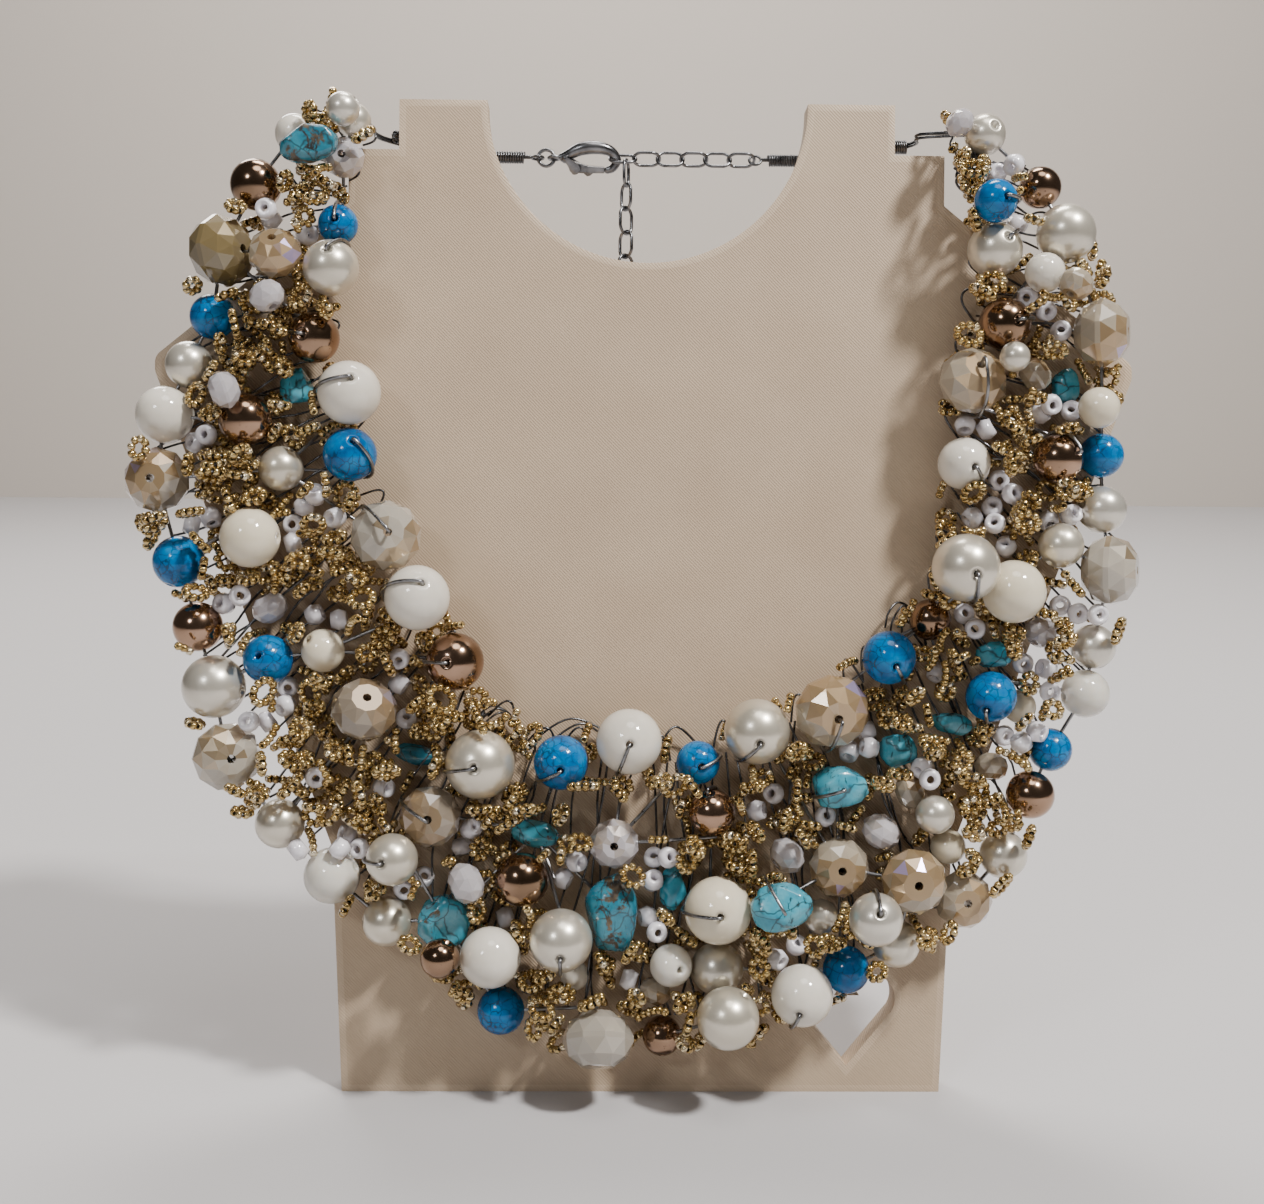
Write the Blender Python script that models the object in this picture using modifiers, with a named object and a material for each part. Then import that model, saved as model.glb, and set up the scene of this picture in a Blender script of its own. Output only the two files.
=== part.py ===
"""Bead bib necklace on a leaning display board.

Metres, +Z up. The origin is the middle of the board's foot, the front faces -Y.
The board, and all that hangs on it, is drawn in the board's own frame, which
leans back about the foot: x to the right, y into the board, z up along it.
"""

import math
from collections import namedtuple

import bmesh
import bpy
import numpy as np
from mathutils import Matrix, Vector

MM = 0.001

# Clearance between pieces that meet
GAP = 0.0003

# Display board
BOARD_HEIGHT = 0.1776
BOARD_THICKNESS = 0.0055
BOARD_LEAN = math.radians(8.0)
POST_HALF_SPAN = 0.0445
NOTCH_RADIUS = 0.0288
LEDGE_DROP = 0.009
LEDGE_HALF_SPAN = 0.0535
SHOULDER_START_DROP = 0.018
SHOULDER_DROP = 0.045
SHOULDER_HALF_SPAN = 0.0878
SHOULDER_EDGE = 0.006
SHOULDER_ROUNDING = 0.0025
WAIST_DROP = 0.134
WAIST_HALF_SPAN = 0.0558
BASE_HALF_SPAN = 0.0536
HEART_WIDTH = 0.0172
HEART_OFFSET = 0.0370
HEART_CENTRE_HEIGHT = 0.0122
HEART_LOBE_SHARE = 0.26
HEART_POINT_SHARE = 0.46

# Rear strut
STRUT_THICKNESS = 0.006
STRUT_HEIGHT = 0.095
STRUT_REACH = 0.058
STRUT_TOE = 0.004
STRUT_TOP_WIDTH = 0.004

# Necklace as a whole
NECKLACE_HALF_WIDTH = 0.0878
NECKLACE_DROP = 0.1646
NECKLACE_TOP_INSET = 0.0040

# Wire
NET_WIRE_RADIUS = 0.0004
POST_WIRE_RADIUS = 0.00035
WIRE_TIP = 0.0006
WIRE_SIDES = 5
WIRE_OVERLAP_SHARE = 0.6
HOLE_RADIUS = POST_WIRE_RADIUS + GAP

# Beads
BEAD_SIDES = 10
BEAD_RINGS = 5
RONDELLE_LENGTH_SHARE = 0.74
TABLE_SHARE = 0.50
CROWN_RADIUS_SHARE = 0.84
CROWN_HEIGHT_SHARE = 0.60
GIRDLE_SHARE = 0.16
PLAIN_GIRDLE_SHARE = 0.30
# An ellipsoid that holds a rondelle with its corners is wider and deeper by these
HULL_WIDTH_SHARE = 1.05
HULL_DEPTH_SHARE = 1.2
NUGGET_DEPTH_SHARE = 0.80
RISE_STEP = 0.0002
ARM_TESTS = 40
NEAREST_PAIRS = 40
NEAREST_BEADS = 8

# Wire ends, coils and clasp chain behind the board
CHAIN_SETBACK = 0.0030
CHAIN_DROP = 0.0078
END_WIRE_RADIUS = 0.00035
END_WIRE_STEPS = 3
END_WIRE_RISE_SHARE = 0.6
LEDGE_TURN_SHARE = 0.25
POST_TURN_SHARE = 0.9
WIRE_EYE_RADIUS = 0.0011
COIL_WIRE_RADIUS = 0.00025
COIL_TURNS = 7
COIL_SIDES = 10
COIL_START = 0.0024
COIL_LENGTH = 0.0068
JUMP_RING_RADIUS = 0.0015
JUMP_RING_WIRE_RADIUS = 0.00035
CLASP_EYE_RADIUS = 0.0010
CLASP_EYE_WIRE_RADIUS = 0.00035
CLASP_LENGTH = 0.0124
CLASP_HEIGHT = 0.0056
CLASP_TUBE_RADIUS = 0.0008
CLASP_TILT = math.radians(30.0)
CLASP_SIDES = 8
HOOK_STEPS = 2
# The hook's middle line, over the top and round the nose, in shares of its length and height
HOOK_ROUTE = [(0.20, 0.25), (0.42, 0.85), (0.66, 1.0), (0.88, 0.72), (1.0, -0.10), (0.93, -0.85),
              (0.85, -1.05)]
CHEEK_REACH_SHARE = 0.17
CHEEK_TOP_SHARE = 0.9
CHEEK_FOOT_SHARE = 0.7
NECK_SETBACK = 0.00073
NECK_SWELL = 1.2
PIVOT_SHARE = 0.30
LEVER_THICKNESS = 0.0009
LEVER_PIN_RADIUS = 0.00035
LEVER_KNUCKLE_RADIUS = 0.00105
LEVER_TIP_SHARE = 0.4
LEVER_ARM_SHARE = 0.5
# The thumb tab under the lever, in shares of its reach and of its knuckle's radius
LEVER_TAB = [(0.30, -0.95), (0.42, -1.45), (0.52, -1.35)]
LEVER_ARM_START = 0.62
LEVER_BACK_PLACE = 0.45
LEVER_BACK_RISE = 0.45
LEVER_BACK_FALL = 0.3
CHEEK_THICKNESS = 0.0005
CHAIN_WIRE_RADIUS = 0.0003
LINK_HALF_WIDTH = 0.00195
LINK_STRAIGHT = 0.0016
LINK_SEGMENTS = 10
LINK_TILT = math.radians(60.0)
HOOKED_LINK_TILT = math.radians(-52.0)
LINK_BITE = 0.00008
RUN_LINKS = 6
# How far each link of the tail is turned about the tail, in degrees
TAIL_TURNS = (75, -60, 50, -50, 40)
TAIL_SHIFT_SHARE = 0.4

# Where the photographed view stands: the eye, its heading and its focal length in pixels
VIEW_WIDTH_PX = 1264
VIEW_HEIGHT_PX = 1204
VIEW_FOCAL_PX = 1519.8
VIEW_EYE = (-0.00726, -0.26087, 0.12748)
VIEW_PITCH = math.radians(8.43)
VIEW_YAW = math.radians(1.06)
VIEW_ROLL = math.radians(0.55)

# Outermost and lowest bead centres of the view, which carry the necklace's width and drop
PHOTO_SIDE_X = 157
PHOTO_SIDE_Y = 480
PHOTO_LOW_X = 598
PHOTO_LOW_Y = 1040
PHOTO_TOP_X = 354
PHOTO_TOP_Y = 121
PHOTO_AXIS_X = 648

# A bead: its kind, its centre in the view in pixels, its width and height in millimetres,
# how far its back stands off the board at least, and the way its hole points
Bead = namedtuple("Bead", "kind x y wide tall rise hole_right hole_up",
                  defaults=(0.0, 0.0))

MAIN_BEADS = [
    Bead("blue", 338, 225, 7.0, 7.0, 3.0, 0.0, 0.1),
    Bead("pearl", 331, 268, 9.6, 9.6, 3.0, 0.0, 0.5),
    Bead("copper", 314, 338, 8.9, 8.9, 3.0, -0.3, 0.0),
    Bead("ivory", 349, 393, 11.1, 11.1, 3.0, 0.2, 0.35),
    Bead("blue", 350, 455, 9.4, 9.4, 3.0, 0.25, 0.45),
    Bead("copper", 245, 420, 9.1, 9.1, 4.0, 0.98, 0.0),
    Bead("cream", 250, 538, 10.4, 10.4, 4.0, 0.98, 0.0),
    Bead("rondelle", 386, 536, 12.4, 12.4, 3.0, 0.2, 0.1),
    Bead("ivory", 417, 598, 11.3, 11.3, 3.0, 0.25, 0.45),
    Bead("copper", 455, 662, 10.1, 10.1, 3.0, -0.2, 0.0),
    Bead("rondelle", 364, 710, 11.6, 11.6, 4.0, 0.25, 0.55),
    Bead("rondelle", 430, 817, 10.9, 10.9, 4.0),
    Bead("pearl", 392, 860, 8.9, 8.9, 4.0, -0.3, 0.0),
    Bead("pearl", 480, 765, 12.1, 12.1, 3.5, -0.1, 0.0),
    Bead("blue", 561, 763, 9.6, 9.6, 3.0, 0.0, -0.2),
    Bead("ivory", 629, 742, 11.5, 11.5, 3.0),
    Bead("copper", 522, 880, 9.4, 9.4, 4.0, -0.98, 0.0),
    Bead("nugget", 612, 914, 9.9, 14.4, 3.0),
    Bead("pearl", 561, 941, 10.9, 10.9, 4.0, 0.0, -0.4),
    Bead("ivory", 490, 958, 10.6, 10.6, 3.0, 0.98, 0.0),
    Bead("rondelle", 598, 1040, 12.5, 12.5, 3.0, 0.0, -0.9),
    Bead("blue", 698, 763, 7.7, 7.7, 3.0, 0.1, -0.1),
    Bead("copper", 712, 813, 8.2, 8.2, 4.0, -0.2, 0.9),
    Bead("pearl", 757, 732, 11.5, 11.5, 3.0, 0.0, -0.3),
    Bead("rondelle", 832, 712, 13.3, 13.3, 3.0, 0.1, -0.2),
    Bead("cream", 718, 911, 11.8, 11.8, 4.0),
    Bead("nugget", 781, 907, 11.1, 9.2, 4.0),
    Bead("nugget", 840, 787, 9.7, 7.7, 4.0),
    Bead("ivory", 802, 996, 10.8, 10.8, 3.0, -0.2, -0.4),
    Bead("pearl", 876, 920, 9.2, 9.2, 4.0, 0.0, 0.4),
    Bead("blue", 889, 658, 9.4, 9.4, 3.0, 0.1, -0.3),
    Bead("blue", 991, 697, 8.9, 8.9, 4.0, -0.37, -0.5),
    Bead("cream", 1014, 592, 10.9, 10.9, 3.0, 0.7, -0.68),
    Bead("pearl", 966, 568, 11.5, 11.5, 3.0, 0.1, -0.2),
    Bead("ivory", 964, 464, 9.2, 9.2, 3.0, 0.2, -0.2),
    Bead("copper", 1058, 459, 8.7, 8.7, 4.0, 0.6, 0.2),
    Bead("rondelle", 973, 381, 12.1, 12.1, 3.0, 0.1, 0.5),
    Bead("copper", 1005, 324, 9.2, 9.2, 3.0, 0.3, 0.0),
    Bead("pearl", 995, 250, 9.6, 9.6, 3.0, 0.3, 0.3),
    Bead("blue", 996, 201, 7.4, 7.4, 3.0, 0.3, 0.0),
]

NET_BEADS = [
    Bead("round", 354, 121, 6.2, 6.2, 0.5),
    Bead("nugget", 308, 143, 10.4, 7.0, 3.0),
    Bead("round", 295, 134, 7.0, 7.0, 0.5),
    Bead("rondelle", 344, 158, 7.3, 7.3, 1.0),
    Bead("round", 256, 185, 8.9, 8.9, 1.0),
    Bead("rondelle", 222, 251, 12.5, 12.5, 0.5, 0.9, 0.0),
    Bead("rondelle", 275, 253, 9.4, 9.4, 1.0, 0.0, 0.6),
    Bead("round", 213, 317, 8.0, 8.0, 1.0),
    Bead("round", 189, 365, 8.2, 8.2, 1.0),
    Bead("round", 165, 415, 10.1, 10.1, 0.5),
    Bead("round", 281, 469, 7.9, 7.9, 2.0),
    Bead("rondelle", 157, 480, 11.5, 11.5, 0.5),
    Bead("round", 179, 562, 9.1, 9.1, 1.0),
    Bead("round", 198, 627, 8.7, 8.7, 1.0),
    Bead("round", 323, 651, 7.7, 7.7, 2.5),
    Bead("round", 268, 660, 8.7, 8.7, 2.5),
    Bead("round", 214, 687, 11.1, 11.1, 0.5),
    Bead("rondelle", 227, 757, 12.0, 12.0, 0.5, 0.4, 0.0),
    Bead("round", 280, 824, 8.7, 8.7, 1.0),
    Bead("round", 332, 876, 9.9, 9.9, 0.5),
    Bead("round", 387, 922, 8.7, 8.7, 0.5),
    Bead("nugget", 444, 920, 9.7, 10.3, 2.5),
    Bead("nugget", 537, 834, 9.4, 5.3, 2.0),
    Bead("rondelle", 614, 844, 8.9, 8.9, 2.0),
    Bead("round", 501, 1011, 8.4, 8.4, 1.0),
    Bead("round", 662, 1036, 7.0, 7.0, 1.0),
    Bead("rondelle", 839, 868, 10.8, 10.8, 1.0),
    Bead("round", 896, 944, 8.5, 8.5, 0.5),
    Bead("rondelle", 914, 882, 11.6, 11.6, 2.0),
    Bead("rondelle", 963, 900, 10.4, 10.4, 0.5),
    Bead("round", 717, 969, 9.4, 9.4, 0.5),
    Bead("round", 728, 1019, 10.8, 10.8, 1.5),
    Bead("round", 846, 970, 8.4, 8.4, 0.5),
    Bead("round", 930, 620, 7.4, 7.4, 1.0),
    Bead("round", 1093, 647, 8.0, 8.0, 0.5),
    Bead("round", 1085, 694, 8.5, 8.5, 0.5),
    Bead("round", 1050, 750, 7.7, 7.7, 0.5),
    Bead("round", 1030, 795, 8.5, 8.5, 2.0),
    Bead("round", 1003, 855, 8.5, 8.5, 1.0),
    Bead("round", 1101, 456, 7.9, 7.9, 0.5),
    Bead("round", 1102, 510, 8.5, 8.5, 0.5),
    Bead("round", 1061, 546, 7.9, 7.9, 2.0),
    Bead("rondelle", 1110, 571, 12.5, 12.5, 0.5, 0.9, 0.0),
    Bead("round", 985, 135, 7.3, 7.3, 1.0),
    Bead("round", 1040, 188, 7.4, 7.4, 0.5),
    Bead("round", 1066, 234, 10.4, 10.4, 1.5),
    Bead("rondelle", 1102, 333, 12.0, 12.0, 1.5, 0.9, 0.0),
]

# A solid's look: colour, roughness and metallic value
Finish = namedtuple("Finish", "colour roughness metallic")
FINISHES = {
    "stand": Finish((0.61, 0.49, 0.36, 1), 0.55, 0.0),
    "pearl": Finish((0.80, 0.74, 0.62, 1), 0.22, 0.0),
    "ivory": Finish((0.83, 0.78, 0.68, 1), 0.15, 0.0),
    "cream": Finish((0.80, 0.72, 0.55, 1), 0.18, 0.0),
    "blue": Finish((0.02, 0.30, 0.52, 1), 0.20, 0.0),
    "copper": Finish((0.62, 0.38, 0.26, 1), 0.15, 1.0),
    "rondelle": Finish((0.66, 0.60, 0.50, 1), 0.08, 0.0),
    "nugget": Finish((0.10, 0.42, 0.46, 1), 0.25, 0.0),
    "bead_field": Finish((0.70, 0.63, 0.50, 1), 0.20, 0.0),
    "gunmetal": Finish((0.20, 0.20, 0.21, 1), 0.30, 1.0),
}

# Board frame


def board_top():
    return BOARD_HEIGHT


def board_face():
    return -BOARD_THICKNESS / 2


def lean_matrix():
    return Matrix.Rotation(-BOARD_LEAN, 3, "X")


def view_axes():
    """Right, up and forward of the view, in world axes."""
    forward = Vector((math.sin(VIEW_YAW) * math.cos(VIEW_PITCH),
                      math.cos(VIEW_YAW) * math.cos(VIEW_PITCH),
                      -math.sin(VIEW_PITCH)))
    level = Vector((math.cos(VIEW_YAW), -math.sin(VIEW_YAW), 0.0))
    upright = level.cross(forward)
    right = level * math.cos(VIEW_ROLL) + upright * math.sin(VIEW_ROLL)
    up = upright * math.cos(VIEW_ROLL) - level * math.sin(VIEW_ROLL)
    return right, up, forward


def seen_place(x_px, y_px, lift):
    """The photographed place of a point of the view that lies lift off the board's face."""
    right, up, forward = view_axes()
    ray = (forward * VIEW_FOCAL_PX + right * (x_px - VIEW_WIDTH_PX / 2)
           + up * (VIEW_HEIGHT_PX / 2 - y_px))
    to_board = lean_matrix().transposed()
    eye = to_board @ Vector(VIEW_EYE)
    ray = to_board @ ray
    reach = (board_face() - lift - eye.y) / ray.y
    return eye + ray * reach


def width_scale():
    half = seen_place(PHOTO_AXIS_X, PHOTO_SIDE_Y, 0.0).x - seen_place(PHOTO_SIDE_X, PHOTO_SIDE_Y, 0.0).x
    return NECKLACE_HALF_WIDTH / half


def drop_scale():
    drop = seen_place(PHOTO_TOP_X, PHOTO_TOP_Y, 0.0).z - seen_place(PHOTO_LOW_X, PHOTO_LOW_Y, 0.0).z
    return NECKLACE_DROP / drop


def bead_place(bead, lift):
    """A bead's centre in the board's frame: its share of the necklace's width and drop."""
    seen = seen_place(bead.x, bead.y, lift)
    top_seen = seen_place(PHOTO_TOP_X, PHOTO_TOP_Y, 0.0).z
    below_top = (top_seen - seen.z) * drop_scale()
    return np.array([seen.x * width_scale(), seen.y, board_top() - NECKLACE_TOP_INSET - below_top])


# Objects and meshes


def clear_scene():
    for thing in list(bpy.data.objects):
        bpy.data.objects.remove(thing, do_unlink=True)


def make_collection(name):
    collection = bpy.data.collections.new(name)
    bpy.context.scene.collection.children.link(collection)
    return collection


def make_materials():
    made = {}
    for name, finish in FINISHES.items():
        material = bpy.data.materials.new(name)
        material.use_nodes = True
        shader = material.node_tree.nodes["Principled BSDF"]
        shader.inputs["Base Color"].default_value = finish.colour
        shader.inputs["Roughness"].default_value = finish.roughness
        shader.inputs["Metallic"].default_value = finish.metallic
        made[name] = material
    return made


def add_object(name, mesh, collection, material, parent, matrix=None):
    thing = bpy.data.objects.new(name, mesh)
    collection.objects.link(thing)
    if material is not None:
        mesh.materials.clear()
        mesh.materials.append(material)
    thing.parent = parent
    if matrix is not None:
        thing.matrix_local = matrix
    return thing


def add_cutter(name, mesh, cutters, parent):
    thing = add_object(name, mesh, cutters, None, parent)
    thing.hide_render = True
    thing.display_type = "WIRE"
    return thing


def mesh_from_bmesh(name, shape, smooth=True):
    bmesh.ops.recalc_face_normals(shape, faces=shape.faces)
    mesh = bpy.data.meshes.new(name)
    shape.to_mesh(mesh)
    shape.free()
    if smooth:
        mesh.shade_smooth()
        mesh.set_sharp_from_angle(angle=math.radians(50))
    return mesh


def mesh_from_curve(name, curve, collection):
    """A curve's evaluated shape as a welded mesh."""
    guide = bpy.data.objects.new(name + "_guide", curve)
    collection.objects.link(guide)
    depsgraph = bpy.context.evaluated_depsgraph_get()
    mesh = bpy.data.meshes.new_from_object(guide.evaluated_get(depsgraph))
    bpy.data.objects.remove(guide, do_unlink=True)
    shape = bmesh.new()
    shape.from_mesh(mesh)
    bmesh.ops.remove_doubles(shape, verts=shape.verts, dist=0.000001)
    bmesh.ops.recalc_face_normals(shape, faces=shape.faces)
    shape.to_mesh(mesh)
    shape.free()
    mesh.name = name
    return mesh


def flat_mesh(name, outlines, thickness, collection):
    """A plate with the given closed outlines in x and y, its thickness about z = 0."""
    curve = bpy.data.curves.new(name, "CURVE")
    curve.dimensions = "2D"
    curve.fill_mode = "BOTH"
    curve.extrude = thickness / 2
    for outline in outlines:
        spline = curve.splines.new("POLY")
        spline.points.add(len(outline) - 1)
        for point, (x, y) in zip(spline.points, outline):
            point.co = (x, y, 0, 1)
        spline.use_cyclic_u = True
    return mesh_from_curve(name, curve, collection)


def tube_mesh(name, points, radius, collection, resolution=1):
    curve = bpy.data.curves.new(name, "CURVE")
    curve.dimensions = "3D"
    curve.bevel_depth = radius
    curve.bevel_resolution = resolution
    curve.use_fill_caps = True
    spline = curve.splines.new("POLY")
    spline.points.add(len(points) - 1)
    for point, place in zip(spline.points, points):
        point.co = (*place, 1)
    return mesh_from_curve(name, curve, collection)


def turned_mesh(name, profile, sides, collection, material, parent, matrix, closed):
    """A profile at +X, run down its outer side, turned about z by a Screw modifier."""
    mesh = bpy.data.meshes.new(name)
    edges = [(i, i + 1) for i in range(len(profile) - 1)]
    if closed:
        edges.append((len(profile) - 1, 0))
    mesh.from_pydata([(x, 0, z) for x, z in profile], edges, [])
    thing = add_object(name, mesh, collection, material, parent, matrix)
    turn = thing.modifiers.new("turn", "SCREW")
    turn.axis = "Z"
    turn.steps = sides
    turn.render_steps = sides
    turn.use_merge_vertices = True
    turn.merge_threshold = 0.00001
    turn.use_smooth_shade = True
    return thing


def arc(centre, radius, start, end, steps):
    """Points of an arc in a plane, angles in degrees."""
    points = []
    for i in range(steps + 1):
        angle = math.radians(start + (end - start) * i / steps)
        points.append((centre[0] + radius * math.cos(angle), centre[1] + radius * math.sin(angle)))
    return points


def smooth_path(points, steps):
    """A Catmull-Rom curve through the given points."""
    knots = [np.array(point, float) for point in points]
    knots = [2 * knots[0] - knots[1]] + knots + [2 * knots[-1] - knots[-2]]
    path = []
    for before, a, b, after in zip(knots, knots[1:], knots[2:], knots[3:]):
        for i in range(steps):
            t = i / steps
            path.append(0.5 * (2 * a + (b - before) * t + (2 * before - 5 * a + 4 * b - after) * t ** 2
                               + (3 * a - before - 3 * b + after) * t ** 3))
    path.append(knots[-2])
    return path


# Display board and strut


def board_half_outline():
    """The right half of the board, from below the foot up to the notch's lowest point."""
    top = board_top()
    foot = -BOARD_THICKNESS
    edge_low = top - SHOULDER_DROP - SHOULDER_EDGE
    edge_high = top - SHOULDER_DROP
    rounding = SHOULDER_ROUNDING
    points = [(BASE_HALF_SPAN, foot), (WAIST_HALF_SPAN, top - WAIST_DROP)]
    centre_x = SHOULDER_HALF_SPAN - rounding
    points += arc((centre_x, edge_low + rounding), rounding, -20, 0, 2)
    points += arc((centre_x, edge_high - rounding), rounding, 0, 50, 3)
    points.append((LEDGE_HALF_SPAN, top - SHOULDER_START_DROP))
    points.append((LEDGE_HALF_SPAN, top - LEDGE_DROP))
    points.append((POST_HALF_SPAN, top - LEDGE_DROP))
    points.append((POST_HALF_SPAN, top))
    points += arc((0, top), NOTCH_RADIUS, 0, -90, 12)
    return points


def heart_outline():
    """A heart: two lobes over a point."""
    lobe = HEART_WIDTH / 4
    points = arc((lobe, lobe), HEART_WIDTH * HEART_LOBE_SHARE, 180, -30, 9)
    half = [(x, y) for x, y in points if x >= 0]
    half.append((0, -HEART_WIDTH * HEART_POINT_SHARE))
    left = [(-x, y) for x, y in reversed(half[:-1])]
    outline = half + [point for point in left if point[0] < -0.00001]
    return [(x + HEART_OFFSET, y + HEART_CENTRE_HEIGHT) for x, y in outline]


def make_board(parts, cutters, materials, frame):
    right = board_half_outline()
    left = [(-x, y) for x, y in reversed(right[:-1])]
    outline = right + left
    mesh = flat_mesh("display_board", [outline, heart_outline()], BOARD_THICKNESS, parts)
    mesh.transform(Matrix.Rotation(math.radians(90), 4, "X"))
    board = add_object("display_board", mesh, parts, materials["stand"], frame)
    floor = bmesh.new()
    depth = BOARD_THICKNESS * 4
    bmesh.ops.create_cube(floor, size=1.0)
    bmesh.ops.scale(floor, vec=(BASE_HALF_SPAN * 3, depth * 2, depth), verts=floor.verts)
    bmesh.ops.translate(floor, vec=(0, 0, -depth / 2), verts=floor.verts)
    cutter = add_cutter("floor_cutter", mesh_from_bmesh("floor_cutter", floor, False), cutters, None)
    cut = board.modifiers.new("level_foot", "BOOLEAN")
    cut.operation = "DIFFERENCE"
    cut.object = cutter
    cut.solver = "EXACT"
    return board


def back_face_y(height):
    """How far back the board's rear face is at a height, with the gap to it."""
    return (BOARD_THICKNESS / 2 + GAP) / math.cos(BOARD_LEAN) + height * math.tan(BOARD_LEAN)


def make_strut(parts, materials):
    outline = [
        (back_face_y(0), 0),
        (STRUT_REACH, 0),
        (STRUT_REACH, STRUT_TOE),
        (back_face_y(STRUT_HEIGHT) + STRUT_TOP_WIDTH, STRUT_HEIGHT),
        (back_face_y(STRUT_HEIGHT), STRUT_HEIGHT),
    ]
    mesh = flat_mesh("rear_strut", [outline], STRUT_THICKNESS, parts)
    turn = Matrix.Rotation(math.radians(90), 4, "Z") @ Matrix.Rotation(math.radians(90), 4, "X")
    mesh.transform(turn)
    return add_object("rear_strut", mesh, parts, materials["stand"], None)


# Bead shapes


def bead_semi_axes(bead):
    """Half width, half height and half depth along the hole."""
    wide = bead.wide * MM / 2
    tall = bead.tall * MM / 2
    if bead.kind == "rondelle":
        return wide, tall, wide * RONDELLE_LENGTH_SHARE
    if bead.kind == "nugget":
        return wide, tall, min(wide, tall) * NUGGET_DEPTH_SHARE
    return wide, tall, wide


def bead_turn(bead):
    """Columns: the bead's own x, y and hole axis z, in the board's frame."""
    slant = min(0.98, math.hypot(bead.hole_right, bead.hole_up))
    hole = Vector((bead.hole_right, -math.sqrt(1 - slant ** 2), bead.hole_up)).normalized()
    across = Vector((0, 0, 1)).cross(hole)
    across.normalize()
    upward = hole.cross(across)
    return np.array([across, upward, hole]).T


def bead_hull(bead):
    """Matrix whose product with a direction has the length of the bead's reach that way."""
    wide, tall, deep = bead_semi_axes(bead)
    if bead.kind == "rondelle":
        wide, tall, deep = wide * HULL_WIDTH_SHARE, tall * HULL_WIDTH_SHARE, deep * HULL_DEPTH_SHARE
    return np.diag([wide, tall, deep]) @ bead_turn(bead).T


def rondelle_profile(radius, half_length, crowned=True):
    """Table, crown, girdle and crown again, as shares of the rondelle's size."""
    table = (radius * TABLE_SHARE, half_length)
    crown = [(radius * CROWN_RADIUS_SHARE, half_length * CROWN_HEIGHT_SHARE)] if crowned else []
    girdle = (radius, half_length * (GIRDLE_SHARE if crowned else PLAIN_GIRDLE_SHARE))
    upper = [table] + crown + [girdle]
    return upper + [(x, -z) for x, z in reversed(upper)]


def round_profile(radius, hole):
    """The outside of a drilled round bead from rim to rim."""
    start = math.asin(hole / radius)
    return [(radius * math.sin(start + (math.pi - 2 * start) * i / BEAD_RINGS),
             radius * math.cos(start + (math.pi - 2 * start) * i / BEAD_RINGS))
            for i in range(BEAD_RINGS + 1)]


def make_main_bead(name, bead, centre, parts, materials, frame):
    """A drilled bead, turned about its hole; a nugget is drawn out to its width and height."""
    wide, tall, deep = bead_semi_axes(bead)
    if bead.kind == "rondelle":
        profile = rondelle_profile(wide, deep)
        profile = [(HOLE_RADIUS, deep)] + profile + [(HOLE_RADIUS, -deep)]
    else:
        profile = round_profile(wide, HOLE_RADIUS)
    matrix = Matrix(bead_turn(bead).tolist()).to_4x4()
    matrix.translation = Vector(centre)
    thing = turned_mesh(name, profile, BEAD_SIDES, parts, materials[bead.kind], frame, matrix, True)
    if bead.kind == "nugget":
        for vertex in thing.data.vertices:
            vertex.co.z *= deep / wide
        thing.matrix_local = matrix @ Matrix.Diagonal((1, tall / wide, 1, 1))
    return thing


def add_net_bead(shape, bead, centre):
    """A solid bead of the net: its holes hold the wire that is fused to it."""
    wide, tall, deep = bead_semi_axes(bead)
    place = Matrix(bead_turn(bead).tolist()).to_4x4()
    place.translation = Vector(centre)
    if bead.kind == "rondelle":
        profile = [(0, deep)] + rondelle_profile(wide, deep, False) + [(0, -deep)]
        verts = [shape.verts.new((x, 0, z)) for x, z in profile]
        edges = [shape.edges.new(pair) for pair in zip(verts, verts[1:])]
        turned = bmesh.ops.spin(shape, geom=verts + edges, cent=(0, 0, 0), axis=(0, 0, 1),
                                angle=math.tau, steps=BEAD_SIDES, use_merge=True)
        grown = {v for face in shape.faces for v in face.verts if not face.tag}
        bmesh.ops.remove_doubles(shape, verts=list(grown), dist=0.000001)
        fresh = [face for face in shape.faces if not face.tag]
        bmesh.ops.transform(shape, matrix=place, verts=list({v for f in fresh for v in f.verts}))
    else:
        size = Matrix.Diagonal((wide, tall, deep, 1))
        bmesh.ops.create_uvsphere(shape, u_segments=BEAD_SIDES, v_segments=BEAD_RINGS, radius=1.0,
                                  matrix=place @ size)
    for face in shape.faces:
        face.tag = True


# Where the beads lie: each is moved along its line of sight until it is clear


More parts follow.
